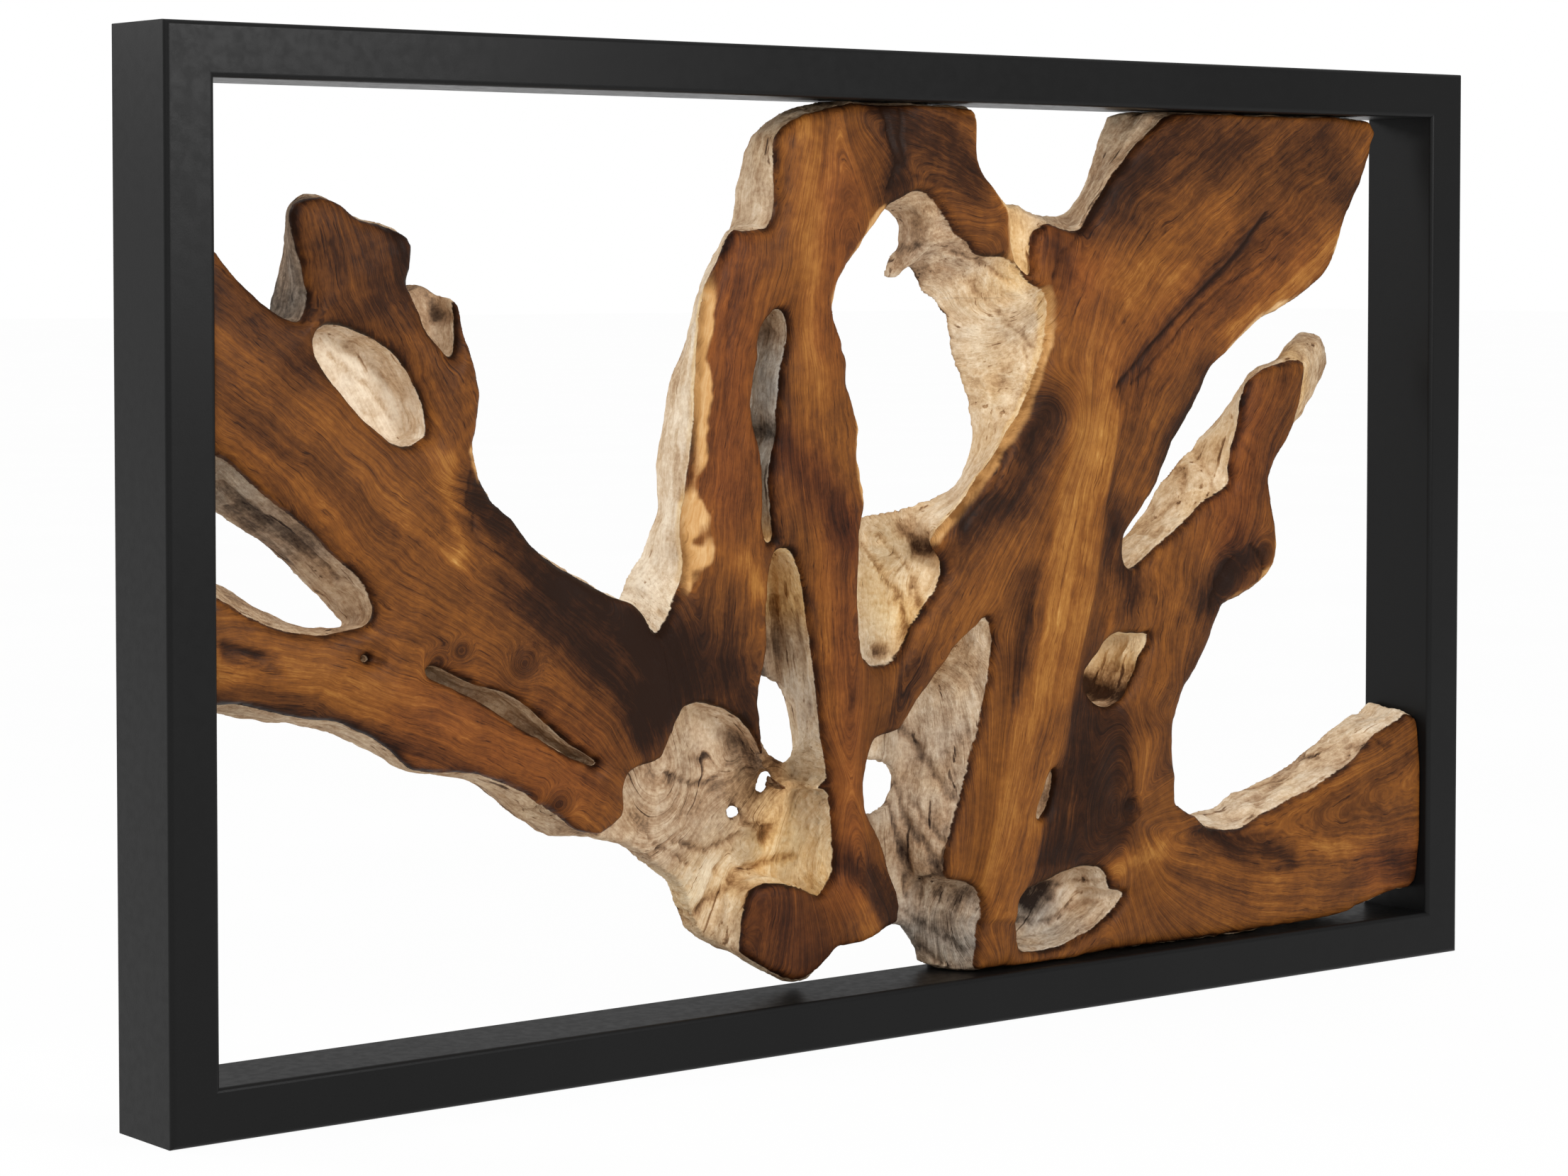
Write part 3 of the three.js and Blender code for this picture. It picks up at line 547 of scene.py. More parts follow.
# Broad strokes on the polished face, paler or darker: half width, strength, points.
TONES = [
    # upper left branch
    (18, -0.18, [(-250, -20), (-215, -52)]),
    (8, 0.22, [(-322, 62), (-312, 10)]),
    (16, -0.26, [(-300, 44), (-245, 2), (-185, -40), (-172, -80)]),
    (13, -0.25, [(-352, 196), (-344, 160)]),
    (26, -0.25, [(-400, 190), (-372, 150)]),
    (16, -0.18, [(-470, 160), (-425, 132), (-405, 118)]),
    (14, -0.20, [(-280, -10), (-215, -60), (-180, -100)]),
    # lower left branch
    (16, 0.14, [(-470, -40), (-400, -50), (-350, -66)]),
    (12, -0.08, [(-352, -82), (-308, -106)]),
    (4, -0.35, [(-462, -35), (-430, -46)]),
    (8, -0.25, [(-474, -62), (-400, -76), (-350, -98)]),
    # trunk
    (10, 0.15, [(-62, 262), (-64, 170), (-58, 90)]),
    (20, -0.04, [(-112, 186), (-122, 110), (-122, 40)]),
    (14, -0.25, [(-80, 62), (-32, 14)]),
    (36, -0.26, [(-172, -50), (-150, -62), (-120, -95)]),
    (24, -0.18, [(-185, -95), (-160, -60), (-120, -70)]),
    (7, 0.22, [(-110, -4), (-98, -24)]),
    (15, -0.05, [(-40, 40), (-34, 0), (-32, -60)]),
    (12, 0.10, [(-60, 240), (-64, 170), (-58, 110)]),
    (12, -0.35, [(-28, -190), (8, -230)]),
    (7, 0.20, [(-26, -205), (-12, -232)]),
    (30, -0.24, [(-96, -208), (-55, -250)]),
    # arch
    (12, -0.32, [(-4, 266), (6, 236), (4, 212)]),
    (20, -0.06, [(40, 250), (100, 200)]),
    (26, -0.20, [(20, 255), (75, 232)]),
    (10, 0.30, [(76, 262), (82, 236), (98, 212)]),
    # right piece
    (26, -0.24, [(170, 205), (235, 245), (330, 245)]),
    (28, 0.12, [(175, 165), (240, 150)]),
    (16, 0.12, [(166, 130), (168, 80), (162, 50)]),
    (9, -0.20, [(190, 98), (250, 148), (300, 188), (322, 198)]),
    (8, 0.20, [(290, 125), (340, 150), (392, 192)]),
    (9, 0.12, [(396, 228), (420, 258)]),
    (22, -0.20, [(370, 250), (395, 225)]),
    (12, -0.35, [(272, 100), (235, 42)]),
    (12, -0.30, [(192, 12), (200, -40)]),
    (14, -0.08, [(118, -120), (80, -234)]),
    (17, -0.34, [(126, 76), (104, 22), (66, 12)]),
    (12, -0.26, [(114, -28), (104, -92)]),
    (12, -0.26, [(26, -72), (4, -104)]),
    (32, -0.26, [(172, -120), (168, -180), (140, -205)]),
    (12, 0.16, [(236, -112), (206, -164)]),
    (8, 0.26, [(226, -204), (190, -216)]),
    (10, -0.20, [(150, 160), (124, 196)]),
    # side branch
    (22, -0.12, [(334, 88), (310, 20), (290, -10)]),
    (16, -0.40, [(300, -22), (268, -48)]),
    (16, -0.22, [(262, -80), (236, -120)]),
    # lower right branch
    (8, -0.34, [(262, -200), (345, -222)]),
    (12, 0.04, [(320, -238), (372, -226), (440, -206)]),
    (24, -0.02, [(250, -226), (300, -238)]),
    (15, -0.26, [(474, -242), (438, -226)]),
]

# Redder strokes on the polished face.
REDS = [
    (30, 0.7, [(-122, 190), (-122, 40)]),
    (26, 0.5, [(-40, 220), (-36, 130)]),
    (16, 0.7, [(-80, 62), (-30, 12)]),
    (20, 0.5, [(-32, 0), (-32, -200)]),
    (30, 0.6, [(130, 190), (150, 165)]),
    (40, 0.5, [(-330, -90), (-240, -120)]),
    (28, 0.6, [(310, 80), (290, 0)]),
    (24, 0.6, [(470, -236), (430, -240)]),
    (40, 0.5, [(-100, -205), (-60, -250)]),
    (34, 0.35, [(200, 110), (340, 180)]),
]

# Sapwood kept along an edge; a strength over 1 also reaches further in.
SAPWOOD = [
    (7, 0.9, [(-137, 166), (-137, 40)]),
    (12, 1.6, [(-132, 20), (-134, -4)]),
    (9, 1.0, [(-145, 30), (-142, -17)]),
    (6, 0.8, [(-38, 150), (-14, 186), (-4, 204)]),
    (5, 0.6, [(-22, 90), (-18, 30)]),
    (10, 0.7, [(101, 210), (108, 180)]),
    (6, 0.7, [(132, 152), (132, 120), (112, 80), (76, 38), (40, 4)]),
    (6, 0.6, [(292, 118), (340, 146), (390, 186)]),
    (5, 0.6, [(74, 266), (76, 240), (98, 210)]),
    (6, 0.5, [(290, -44), (332, -30), (334, -5)]),
    (5, 0.5, [(-303, 70), (-296, 52)]),
]

# Grey weathering of the bare wood.
GREYS = [
    (22, 0.9, [(-78, 110), (-76, 20)]),
    (15, 0.8, [(-84, -40), (-74, -70), (-62, -115)]),
    (26, 0.9, [(20, -244), (75, -250)]),
    (22, 0.8, [(120, -236), (150, -246)]),
    (30, 0.35, [(-480, 72), (-400, 20)]),
    (18, 0.8, [(-420, 206), (-412, 150)]),
    (22, 0.6, [(120, 250), (170, 262)]),
    (40, 0.15, [(50, 180), (120, 120)]),
    (24, 0.5, [(-140, 230), (-150, 150)]),
    (40, 0.35, [(40, -150), (60, -110)]),
    (20, 0.5, [(370, 120), (350, 105)]),
]

# Bare wood paler or darker than a middling tan.
BARE = [
    (60, 0.28, [(-168, 150), (-165, 40), (-170, -40)]),
    (90, 0.17, [(0, 150), (110, 120), (60, 20), (10, -60)]),
    (30, -0.12, [(20, 200), (60, 180)]),
    (40, 0.06, [(20, -20), (10, -70)]),
    (40, -0.04, [(60, -80), (50, -180)]),
    (26, -0.10, [(20, -244), (75, -250)]),
    (24, -0.08, [(-170, -145), (-120, -140)]),
    (22, 0.26, [(-130, -200), (-90, -192), (-60, -190)]),
    (30, -0.06, [(-470, 70), (-365, -20)]),
    (14, 0.12, [(-390, 0), (-372, -20)]),
    (25, -0.30, [(-420, 206), (-412, 150)]),
    (24, 0.32, [(-380, 120), (-340, 85)]),
    (14, -0.10, [(-330, 158), (-320, 126)]),
    (30, -0.02, [(-470, -70), (-360, -100), (-230, -150)]),
    (40, 0.22, [(220, 0), (270, 30), (310, 80)]),
    (40, 0.20, [(264, -184), (350, -165), (470, -135)]),
    (10, 0.06, [(-66, 2), (-60, -22)]),
    # painted shade: darker down the deep slot beside the leg
    (26, -0.36, [(-80, -50), (-76, -130)]),
    (14, 0.16, [(-46, -80), (-40, -190)]),
    (20, 0.36, [(185, -76), (218, -66)]),
    (30, 0.16, [(110, -240), (200, -235)]),
]

# Yellow stains in the bare wood.
YELLOWS = [
    (18, 1.0, [(-78, 4), (-64, -30)]),
    (30, 0.7, [(-60, -150), (-50, -210)]),
    (26, 0.6, [(-140, -205), (-60, -190)]),
    (60, 0.35, [(20, 40), (110, 100)]),
    (40, 0.4, [(20, -20), (40, -60)]),
    (30, 0.8, [(190, -70), (215, -80)]),
    (26, 0.5, [(10, -40), (50, -70)]),
    (20, 0.7, [(360, 112), (362, 90)]),
    (60, 0.35, [(230, 10), (290, 60)]),
    (20, 0.8, [(105, 205), (115, 165)]),
]

STROKE_REACH = 1.8
STROKE_FALL = 1.1


def painted(flat, strokes):
    """Sum of all strokes at each place; a stroke fades out at its width."""
    total = np.zeros(len(flat))
    for width, strength, points in strokes:
        points = np.asarray(points, float)
        low = points.min(axis=0) - STROKE_REACH * width
        high = points.max(axis=0) + STROKE_REACH * width
        near = np.all((flat > low) & (flat < high), axis=1)
        distance = along(flat[near], points)[0]
        total[near] += strength * np.exp(-(distance / width) ** 2 * STROKE_FALL)
    return total


# Pits and dark knots in the bare wood: x, z, radius, how hollow, how dark; the dark is the knots' own
# colour and painted shade in the pits. Below 0 it is raised and pale.
PITS = [
    (50, 160, 8, 5, 0.65), (42, 181, 4, 2, 0.3), (47, -3, 7, 5, 0.9), (40, 8, 4, 2, 0.3),
    (-84, 71, 6, 3, 0.5), (-79, 46, 5, 2, 0.4), (-80, 30, 5, 2, 0.5), (-78, 130, 6, 2, 0.25),
    (196, -101, 8, 4, 0.75), (198, -114, 4, -1, -0.4), (210, -88, 4, 1, 0.25),
    (148, -238, 10, 3, 0.6), (158, -229, 7, 2, 0.5), (136, -234, 7, 1, 0.4),
    (2, -64, 5, 4, 0.7), (-72, -174, 5, 4, 0.6), (-56, -128, 5, 0, 0.5), (27, -105, 8, 3, 0.5),
    (72, -222, 7, 2, 0.35), (40, -250, 6, 2, 0.3), (-146, -133, 4, 2, 0.35), (-110, -190, 4, 2, 0.3),
    (-125, -123, 4, 2, 0.25), (-82, -205, 3, 2, 0.3), (-326, 112, 6, 3, 0.35), (-366, 128, 5, 2, 0.2),
    (-313, 142, 5, 3, 0.4), (136, -166, 8, 1.5, 0.25), (-225, -139, 6, 2, 0.3), (370, 110, 5, 1, 0.2),
    (-424, 30, 5, 1, 0.2), (-150, 60, 4, 2, 0.2), (110, 96, 5, 1, 0.2), (80, 140, 4, 1, 0.25),
]

# Splits and grooves in the bare wood: line, half width, depth.
GROOVES = [
    ([(85, 162), (110, 142), (128, 118)], 1.6, 1.0),
    ([(66, 178), (92, 170), (108, 160)], 1.5, 1.2),
    ([(122, 132), (124, 100), (110, 80)], 1.4, 0.8),
    ([(26, -150), (38, -185), (46, -222)], 1.8, 1.6),
    ([(36, -152), (46, -190), (54, -224)], 1.6, 1.3),
    ([(44, -160), (56, -196), (62, -226)], 1.4, 1.0),
    ([(30, -106), (50, -126), (60, -160)], 2.4, 1.4),
    ([(-150, -128), (-128, -138), (-112, -134)], 1.6, 1.2),
    ([(-146, -170), (-118, -178), (-92, -170)], 1.8, 1.4),
    ([(-128, -214), (-92, -192), (-50, -188)], 2.6, 1.8),
    ([(-176, -150), (-160, -170), (-134, -184)], 1.6, 1.1),
    ([(-100, -150), (-84, -166), (-66, -168)], 1.6, 1.2),
    ([(-152, 130), (-146, 84), (-150, 34)], 1.8, 1.1),
    ([(-162, 100), (-158, 50), (-160, 0)], 1.6, 0.9),
    ([(296, -192), (350, -176), (400, -160)], 1.7, 1.3),
    ([(330, -188), (380, -168), (430, -150)], 1.5, 1.1),
    ([(400, -166), (440, -146), (470, -140)], 1.5, 1.0),
    ([(-452, 52), (-412, 24), (-380, -4)], 1.8, 1.2),
    ([(-440, 40), (-404, 10), (-384, -12)], 1.5, 0.9),
    ([(-74, -40), (-68, -80), (-62, -112)], 1.7, 1.3),
    ([(-62, -30), (-56, -70), (-52, -104)], 1.5, 1.0),
    ([(236, -4), (268, 22), (296, 62)], 1.7, 1.2),
    ([(250, -4), (284, 24), (306, 70)], 1.4, 0.9),
    ([(322, 92), (344, 100), (362, 96)], 1.4, 1.0),
    ([(10, 0), (24, -30), (20, -60)], 2.0, 1.6),
    ([(24, 6), (36, -18), (30, -48)], 1.6, 1.2),
    ([(-380, 122), (-356, 104), (-338, 84)], 1.8, 1.3),
    ([(-370, 126), (-350, 112), (-336, 96)], 1.4, 0.9),
    ([(126, -246), (160, -250), (190, -238)], 1.8, 1.3),
    ([(138, -226), (168, -226), (192, -224)], 1.6, 1.0),
    ([(28, -238), (50, -252), (66, -266)], 1.8, 1.2),
    ([(40, -228), (60, -244), (72, -256)], 1.5, 1.0),
]

# Patches of the face with a crisp border: colour change, how far raised, softness, outline.
# They fade out upward between these two heights.
PATCH_FADE = (45.0, 140.0)
PATCHES = [
    # the long golden ridge
    (0.19, 2.4, 2.4, [(158, 110), (176, 148), (188, 110), (188, 74), (176, 20), (166, -40),
                      (150, -100), (136, -158), (118, -212), (104, -240), (68, -236), (82, -180),
                      (98, -120), (112, -60), (128, -6), (144, 60)]),
    # the side to the right of it, sunk and darkened with a painted shadow
    (-0.12, -1.2, 3.0, [(180, 20), (170, -40), (154, -100), (140, -158), (122, -205), (150, -208),
                        (190, -214), (205, -180), (200, -120), (180, -60), (190, 0)]),
    # golden belly of the lower left branch
    (0.03, 0.8, 3.0, [(-474, -24), (-420, -44), (-370, -52), (-310, -82), (-250, -118), (-262, -126),
                      (-320, -100), (-372, -72), (-430, -60), (-474, -56)]),
    # trunk: the broad band that runs down into the leg
    (0.03, 1.0, 3.0, [(-66, 262), (-40, 262), (-34, 170), (-36, 90), (-24, 20), (-22, -60), (-20, -150),
                      (-14, -220), (-40, -238), (-40, -150), (-48, -60), (-56, 10), (-66, 80), (-68, 170)]),
    # crest of the upper left branch
    (-0.16, -0.8, 3.0, [(-296, 52), (-262, 16), (-210, -16), (-184, -32), (-172, -60), (-196, -52),
                        (-240, -26), (-284, 10), (-306, 40)]),
]

# Cracks in the polished face: line, half width, depth.
CRACKS = [
    ([(186, 94), (214, 118), (246, 142), (276, 166), (300, 186), (318, 204)], 1.6, 1.6),
    ([(200, 96), (232, 120), (262, 146)], 1.3, 1.1),
    ([(240, 128), (282, 158), (330, 176)], 1.2, 0.9),
    ([(-84, 8), (-86, -8), (-84, -20)], 1.4, 1.6),
    ([(-4, 268), (-1, 250), (5, 232), (0, 216)], 1.6, 1.6),
    ([(10, 266), (8, 246), (12, 234)], 1.3, 1.3),
    ([(5, 232), (20, 226), (38, 222)], 1.2, 0.9),
    ([(-462, -34), (-446, -38), (-432, -44)], 1.4, 1.4),
    ([(-440, -50), (-424, -52)], 1.2, 1.0),
    ([(-330, -56), (-316, -62), (-300, -64)], 1.3, 1.2),
    ([(-346, 172), (-350, 186), (-358, 194)], 1.3, 1.2),
    ([(-300, 66), (-306, 40), (-300, 20)], 1.2, 0.9),
    ([(290, -20), (276, -34), (270, -50)], 1.5, 1.4),
    ([(306, -12), (318, -22), (322, -34)], 1.4, 1.3),
    ([(300, 60), (312, 40), (308, 18)], 1.1, 0.7),
    ([(196, -176), (202, -170), (208, -180)], 1.3, 1.2),
    ([(100, 60), (84, 30), (60, 8)], 1.2, 0.8),
    ([(-120, 150), (-126, 110), (-124, 70)], 1.1, 0.7),
    ([(-104, 60), (-106, 30), (-100, 8)], 1.1, 0.8),
    ([(-56, -30), (-46, -80), (-42, -120)], 1.1, 0.6),
    ([(160, 190), (140, 178), (134, 164)], 1.3, 1.0),
    ([(118, -30), (112, -60), (104, -96)], 1.3, 1.0),
    ([(430, -150), (436, -156), (442, -154)], 1.5, 1.2),
    ([(264, -198), (300, -206), (340, -204)], 1.2, 0.8),
]


def dug(flat, lines):
    """Depth of the cracks or grooves at each place."""
    total = np.zeros(len(flat))
    for line, width, depth in lines:
        distance = along(flat, line)[0]
        total += depth * np.exp(-(distance / width) ** 2)
    return total


def inside_by(points, outline):
    """Distance inside a closed outline; negative outside."""
    outline = np.asarray(outline, float)
    closed = np.concatenate([outline, outline[:1]])
    distance = along(points, closed)[0]
    inside = np.zeros(len(points), bool)
    x, z = points.T
    for (x0, z0), (x1, z1) in zip(closed[:-1], closed[1:]):
        crosses = (z0 > z) != (z1 > z)
        at = x0 + (x1 - x0) * (z - z0) / (z1 - z0 + 1e-9)
        inside ^= crosses & (x < at)
    return np.where(inside, distance, -distance)


# ---------- the root ----------

# Where the slices meet, in x, z.
SEAMS = [
    [(-396, -20), (-374, -23), (-362, -32), (-350, -44), (-333, -54), (-300, -69), (-270, -80),
     (-240, -104), (-213, -116), (-196, -122), (-193, -140), (-199, -180)],
    [(-171, -6), (-169, -30), (-168, -58), (-163, -86), (-160, -104), (-168, -119), (-186, -122),
     (-202, -120)],
    [(-62, -114), (-80, -132), (-91, -122), (-100, -108), (-112, -96), (-134, -87), (-151, -88),
     (-158, -100), (-172, -112)],
    [(-60, -116), (-45, -136), (-40, -150), (-39, -200), (-44, -222), (-41, -275)],
    [(-10, 280), (-3, 250), (4, 225), (4, 206), (8, 188)],
    [(142, 214), (126, 190), (122, 172), (127, 153), (106, 150), (60, 150), (20, 146)],
    [(2, 44), (-14, 22), (-19, 0), (-20, -40), (-18, -68), (-4, -84), (8, -98), (6, -114), (4, -148)],
    [(4, -152), (9, -178), (17, -205), (14, -226), (10, -250)],
    [(210, -4), (203, -22), (182, -33), (164, -44), (170, -60), (190, -84), (214, -94), (264, -114)],
    [(284, -178), (262, -189), (235, -200), (213, -217), (200, -234), (186, -250), (183, -290)],
]
SEAM_HALF = 0.04
SEAM_FROM_Y = -70
SEAM_TO_Y = 10

# The slices' nodes, and one point inside each, in x, z at the front.
SLICE_SPOTS = {
    "root_upper_left": (-320, 30), "root_lower_left": (-400, -55), "root_trunk": (-110, 20),
    "root_arch": (40, 245), "root_knob": (-80, -225), "root_right": (200, 120),
    "root_side_branch": (300, -10), "root_lower_right": (350, -230),
}

# What the mesh carries for its material: name, kind, field, numbers per point.
PAINTS = (
    ("flow", "FLOAT_VECTOR", "vector", 3),
    ("front_paint", "FLOAT_COLOR", "color", 4),
    ("side_paint", "FLOAT_COLOR", "color", 4),
)


def evaluated_mesh(piece, name):
    bpy.context.view_layer.update()
    graph = bpy.context.evaluated_depsgraph_get()
    mesh = bpy.data.meshes.new_from_object(piece.evaluated_get(graph))
    mesh.name = name
    return mesh


def numbers(items, field, width, kind=np.float32):
    """One property of all the items of a mesh, as rows of that many numbers."""
    values = np.empty(len(items) * width, kind)
    items.foreach_get(field, values)
    return values.reshape(-1, width)


def read_points(mesh):
    return numbers(mesh.vertices, "co", 3).astype(float)


def read_normals(mesh):
    return numbers(mesh.vertex_normals, "vector", 3).astype(float)


def panel_points(mesh):
    """The mesh's points in millimetres from the middle of the frame."""
    points = read_points(mesh) / MM
    points[:, 2] -= MIDDLE_Z
    return points


def add_paints(mesh, paints):
    for (name, kind, field, _), values in zip(PAINTS, paints):
        attribute = mesh.attributes.new(name, kind, "POINT")
        attribute.data.foreach_set(field, values.astype(np.float32).ravel())


def read_paints(mesh):
    return [numbers(mesh.attributes[name].data, field, width) for name, _, field, width in PAINTS]


# Each slice grows by this much, in millimetres, which closes the saw cuts between them.
GROWTH = 0.42


def joined_slices():
    """All slices in one mesh, grown just enough to close the saw cuts between them."""
    corners, faces = [], []
    for name in SLICE_SPOTS:
        source = nodes[name].data
        points = np.round(read_points(source), 6)
        unique, index = np.unique(points, axis=0, return_inverse=True)
        index = index.reshape(-1)
        mesh = bpy.data.meshes.new("grown")
        tris = [tuple(index[list(face.vertices)].tolist()) for face in source.polygons]
        tris = [face for face in tris if len(set(face)) == 3]
        mesh.from_pydata(unique.tolist(), [], tris)
        grown = unique + read_normals(mesh) * GROWTH * MM
        base = len(corners)
        corners.extend(grown.tolist())
        faces.extend([tuple(i + base for i in face) for face in tris])
        bpy.data.meshes.remove(mesh)
    whole = bpy.data.meshes.new("root_whole")
    whole.from_pydata(corners, [], faces)
    return whole


def remeshed_root():
    """One even, closed mesh of the whole root, its corners a little softened."""
    whole = new_object("root_whole", joined_slices())
    remesh = whole.modifiers.new("voxels", "REMESH")
    remesh.mode = "VOXEL"
    remesh.voxel_size = VOXEL
    smooth = whole.modifiers.new("soften", "SMOOTH")
    smooth.factor = 0.5
    smooth.iterations = 6
    mesh = evaluated_mesh(whole, "root_carved")
    bpy.data.objects.remove(whole, do_unlink=True)
    return mesh


# The face is rounded off near its edge and falls gently from its crown; widths and drops in millimetres.
ROUND_WIDTH = 13
ROUND_DROP = 5.2
CROWN_WIDTH = 42
CROWN_DROP = 2.6
# The face is what lies within the first of these depths, and its edge what lies between the two.
FACE_DEPTH = 2.5
EDGE_DEPTH = 5.5


def edge_distance(points):
    """How far each point of the polished face lies from the nearest edge of it; 0 elsewhere."""
    behind = points[:, 1] - FRONT_Y
    inside = (np.abs(points[:, 0]) < INNER_X - 2) & (np.abs(points[:, 2]) < INNER_Z - 2)
    rim = np.flatnonzero((behind > FACE_DEPTH) & (behind < EDGE_DEPTH) & inside)
    tree = kdtree.KDTree(len(rim))
    for i, (x, _, z) in enumerate(points[rim]):
        tree.insert((x, 0, z), i)
    tree.balance()
    distance = np.zeros(len(points))
    for i in np.flatnonzero(behind < FACE_DEPTH):
        distance[i] = tree.find((points[i, 0], 0, points[i, 2]))[2]
    return distance


class Surface:
    """The uncut root's points in millimetres, with the fields that carving and painting share."""

    def __init__(self, mesh):
        self.points = panel_points(mesh)
        self.normals = read_normals(mesh)
        self.flow = grain_flow(self.points)
        self.flat = self.points[:, [0, 2]]
        self.behind = self.points[:, 1] - FRONT_Y
        self.rim = edge_distance(self.points)
        # 0 on the polished face, 1 on the bare sides, hollows and back
        self.bare = smoothstep(1.0, 4.0, self.behind)
        facing_back = smoothstep(0.5, 0.9, self.normals[:, 1])
        self.back = smoothstep(-12.0, -9.0, self.points[:, 1]) * facing_back
        grain = self.flow / MM
        self.grain = np.column_stack([grain[:, 0] / 5, grain[:, 1], grain[:, 2]])
        self.crease = ridged(self.grain, size=16.0, seed=3)
        self.ragged = cloud(self.points, size=9.0, seed=41, octaves=2)
        drift = [cloud(self.grain, size=7.0, seed=seed, octaves=2) for seed in (81, 83)]
        self.warp = np.column_stack(drift) * 7
        self.sapwood = painted(self.flat, SAPWOOD)
        self.split = dug(self.flat + 0.3 * self.warp, CRACKS)
        self.groove = dug(self.flat + 0.4 * self.warp, GROOVES)


def patches(surface):
    """Tone and height of all strokes and patches of the polished face."""
    tones = painted(surface.flat + surface.warp, TONES)
    lift = np.zeros(len(tones))
    fading = 1 - smoothstep(*PATCH_FADE, surface.flat[:, 1])
    for strength, height, soft, outline in PATCHES:
        depth = inside_by(surface.flat + 0.25 * surface.warp, outline)
        inside = smoothstep(-soft, soft, depth) * fading
        tones += strength * inside
        lift += height * inside
    return tones, lift


def face_relief(surface, tones, lift):
    """How far each point sinks back from the flat front: rounded edges, crown, dark parts, cracks."""
    near = np.clip(1 - surface.rim / ROUND_WIDTH, 0, 1)
    sunk = ROUND_DROP * (1 + 0.5 * surface.ragged) * (1 - np.sqrt(1 - near ** 2))
    sunk += CROWN_DROP * (1 - smoothstep(0, CROWN_WIDTH, surface.rim))
    sunk -= np.clip(tones, -0.5, 0.5) * 2.0 + lift
    waves = cloud(surface.points, size=50.0, seed=31, octaves=2)
    sunk += (surface.split + waves) * (1 - surface.bare)
    return np.maximum(sunk, -3.0)


def face_paint(surface, tones):
    """Tone, with painted shade in the cracks and along the face's edge, redness, sapwood and, for the bare
    wood, greyness.
    """
    tone = 0.445 + tones + cloud(surface.points, size=40.0, seed=51, octaves=2) * 0.06
    # painted shade: the polished face darker in its cracks
    tone -= 0.16 * surface.split
    # painted shade: a dark line along the edge of the polished face, where it turns away to the bare side
    tone -= 0.24 * np.exp(-(surface.rim / 1.9) ** 2) * np.clip(1 + 1.6 * surface.ragged, 0, 2)
    for x, z, radius in KNOTS:
        distance = np.hypot(surface.flat[:, 0] - x, surface.flat[:, 1] - z)
        tone -= 0.22 * np.exp(-(distance / radius) ** 2)
    red = np.clip(painted(surface.flat + surface.warp, REDS) + 0.1 * surface.ragged, 0, 1)
    mask = np.clip(surface.sapwood * 1.3, 0, 1)
    reach = 1 + np.clip(surface.sapwood - 1, 0, 1) * 2
    sap = mask * (1 - smoothstep(3.0, 8.0, surface.rim / reach + surface.ragged * 4))
    tone += 0.12 * sap
    grey = np.clip(painted(surface.flat + surface.warp, GREYS) + 0.2 * surface.ragged, 0, 1)
    return np.column_stack([tone, red, sap, grey])


def bare_look(surface):
    """How far the bare wood stands out, and its paint: bareness, paleness with its painted shade and
    highlight, yellowness.
    """
    rough = surface.crease * 1.5 - 0.8
    rough += cloud(surface.points, size=24.0, seed=9) * 1.8
    rough += cloud(surface.points, size=7.0, seed=21, octaves=2) * 0.8
    push = rough * surface.bare * (1 - 0.85 * surface.back)
    push -= 1.1 * surface.groove * surface.bare * (1 - surface.back)
    raw = 0.5 + (surface.behind + surface.ragged * 1.3 - 2.8) / 8
    # the crease term paints highlight along the raised creases and shade between them
    cream = 0.45 + painted(surface.flat + 0.5 * surface.warp, BARE) + 0.16 * surface.crease
    # painted shade: the bare wood darker towards the back of the panel, deep behind the front
    cream -= 0.14 * smoothstep(-11.0, -9.0, surface.points[:, 1])
    # painted shade: the bare wood darker in its grooves and splits
    cream -= 0.22 * surface.groove
    for x, z, radius, hollow, dark in PITS:
        distance = np.hypot(surface.flat[:, 0] - x, surface.flat[:, 1] - z)
        held = np.exp(-(distance / radius * (1 + 0.5 * surface.ragged)) ** 2)
        held *= surface.bare * (1 - 0.8 * surface.back)
        push -= hollow * held
        # painted shade in the hollow pits, together with the dark of the knots
        cream -= dark * held
    stains = cloud(surface.points, size=30.0, seed=71, octaves=2) * 0.25
    yellow = np.clip(painted(surface.flat, YELLOWS) + stains, 0, 1)
    mask = np.clip(surface.sapwood * 1.3, 0, 1)
    below_rim = 1 - smoothstep(5.0, 9.0, surface.behind + 3 * surface.ragged)
    yellow = np.maximum(yellow, 0.9 * mask * below_rim)
    return push, np.column_stack([raw, cream, yellow, np.ones(len(raw))])


# The carved root keeps this far off the inside of the frame and may stand this far behind its CAD back.
FRAME_GAP = 0.4
BACK_PROUD = 0.4


def carve_root():
    """The whole root with its relief, carrying the grain and the paint for its material."""
    mesh = remeshed_root()
    surface = Surface(mesh)
    tones, lift = patches(surface)
    sunk = face_relief(surface, tones, lift)
    front = face_paint(surface, tones)
    push, side = bare_look(surface)

    points = surface.points + surface.normals * push[:, None]
    points[:, 1] += sunk * np.clip(1 - surface.behind / (BACK_Y - FRONT_Y), 0, 1)
    points[:, 1] = np.minimum(points[:, 1], BACK_Y + BACK_PROUD)
    points[:, 0] = np.clip(points[:, 0], FRAME_GAP - INNER_X, INNER_X - FRAME_GAP)
    points[:, 2] = np.clip(points[:, 2], FRAME_GAP - INNER_Z, INNER_Z - FRAME_GAP)
    points[:, 2] += MIDDLE_Z
    mesh.vertices.foreach_set("co", (points * MM).ravel())
    mesh.update()
    add_paints(mesh, (surface.flow, front, side))
    return mesh


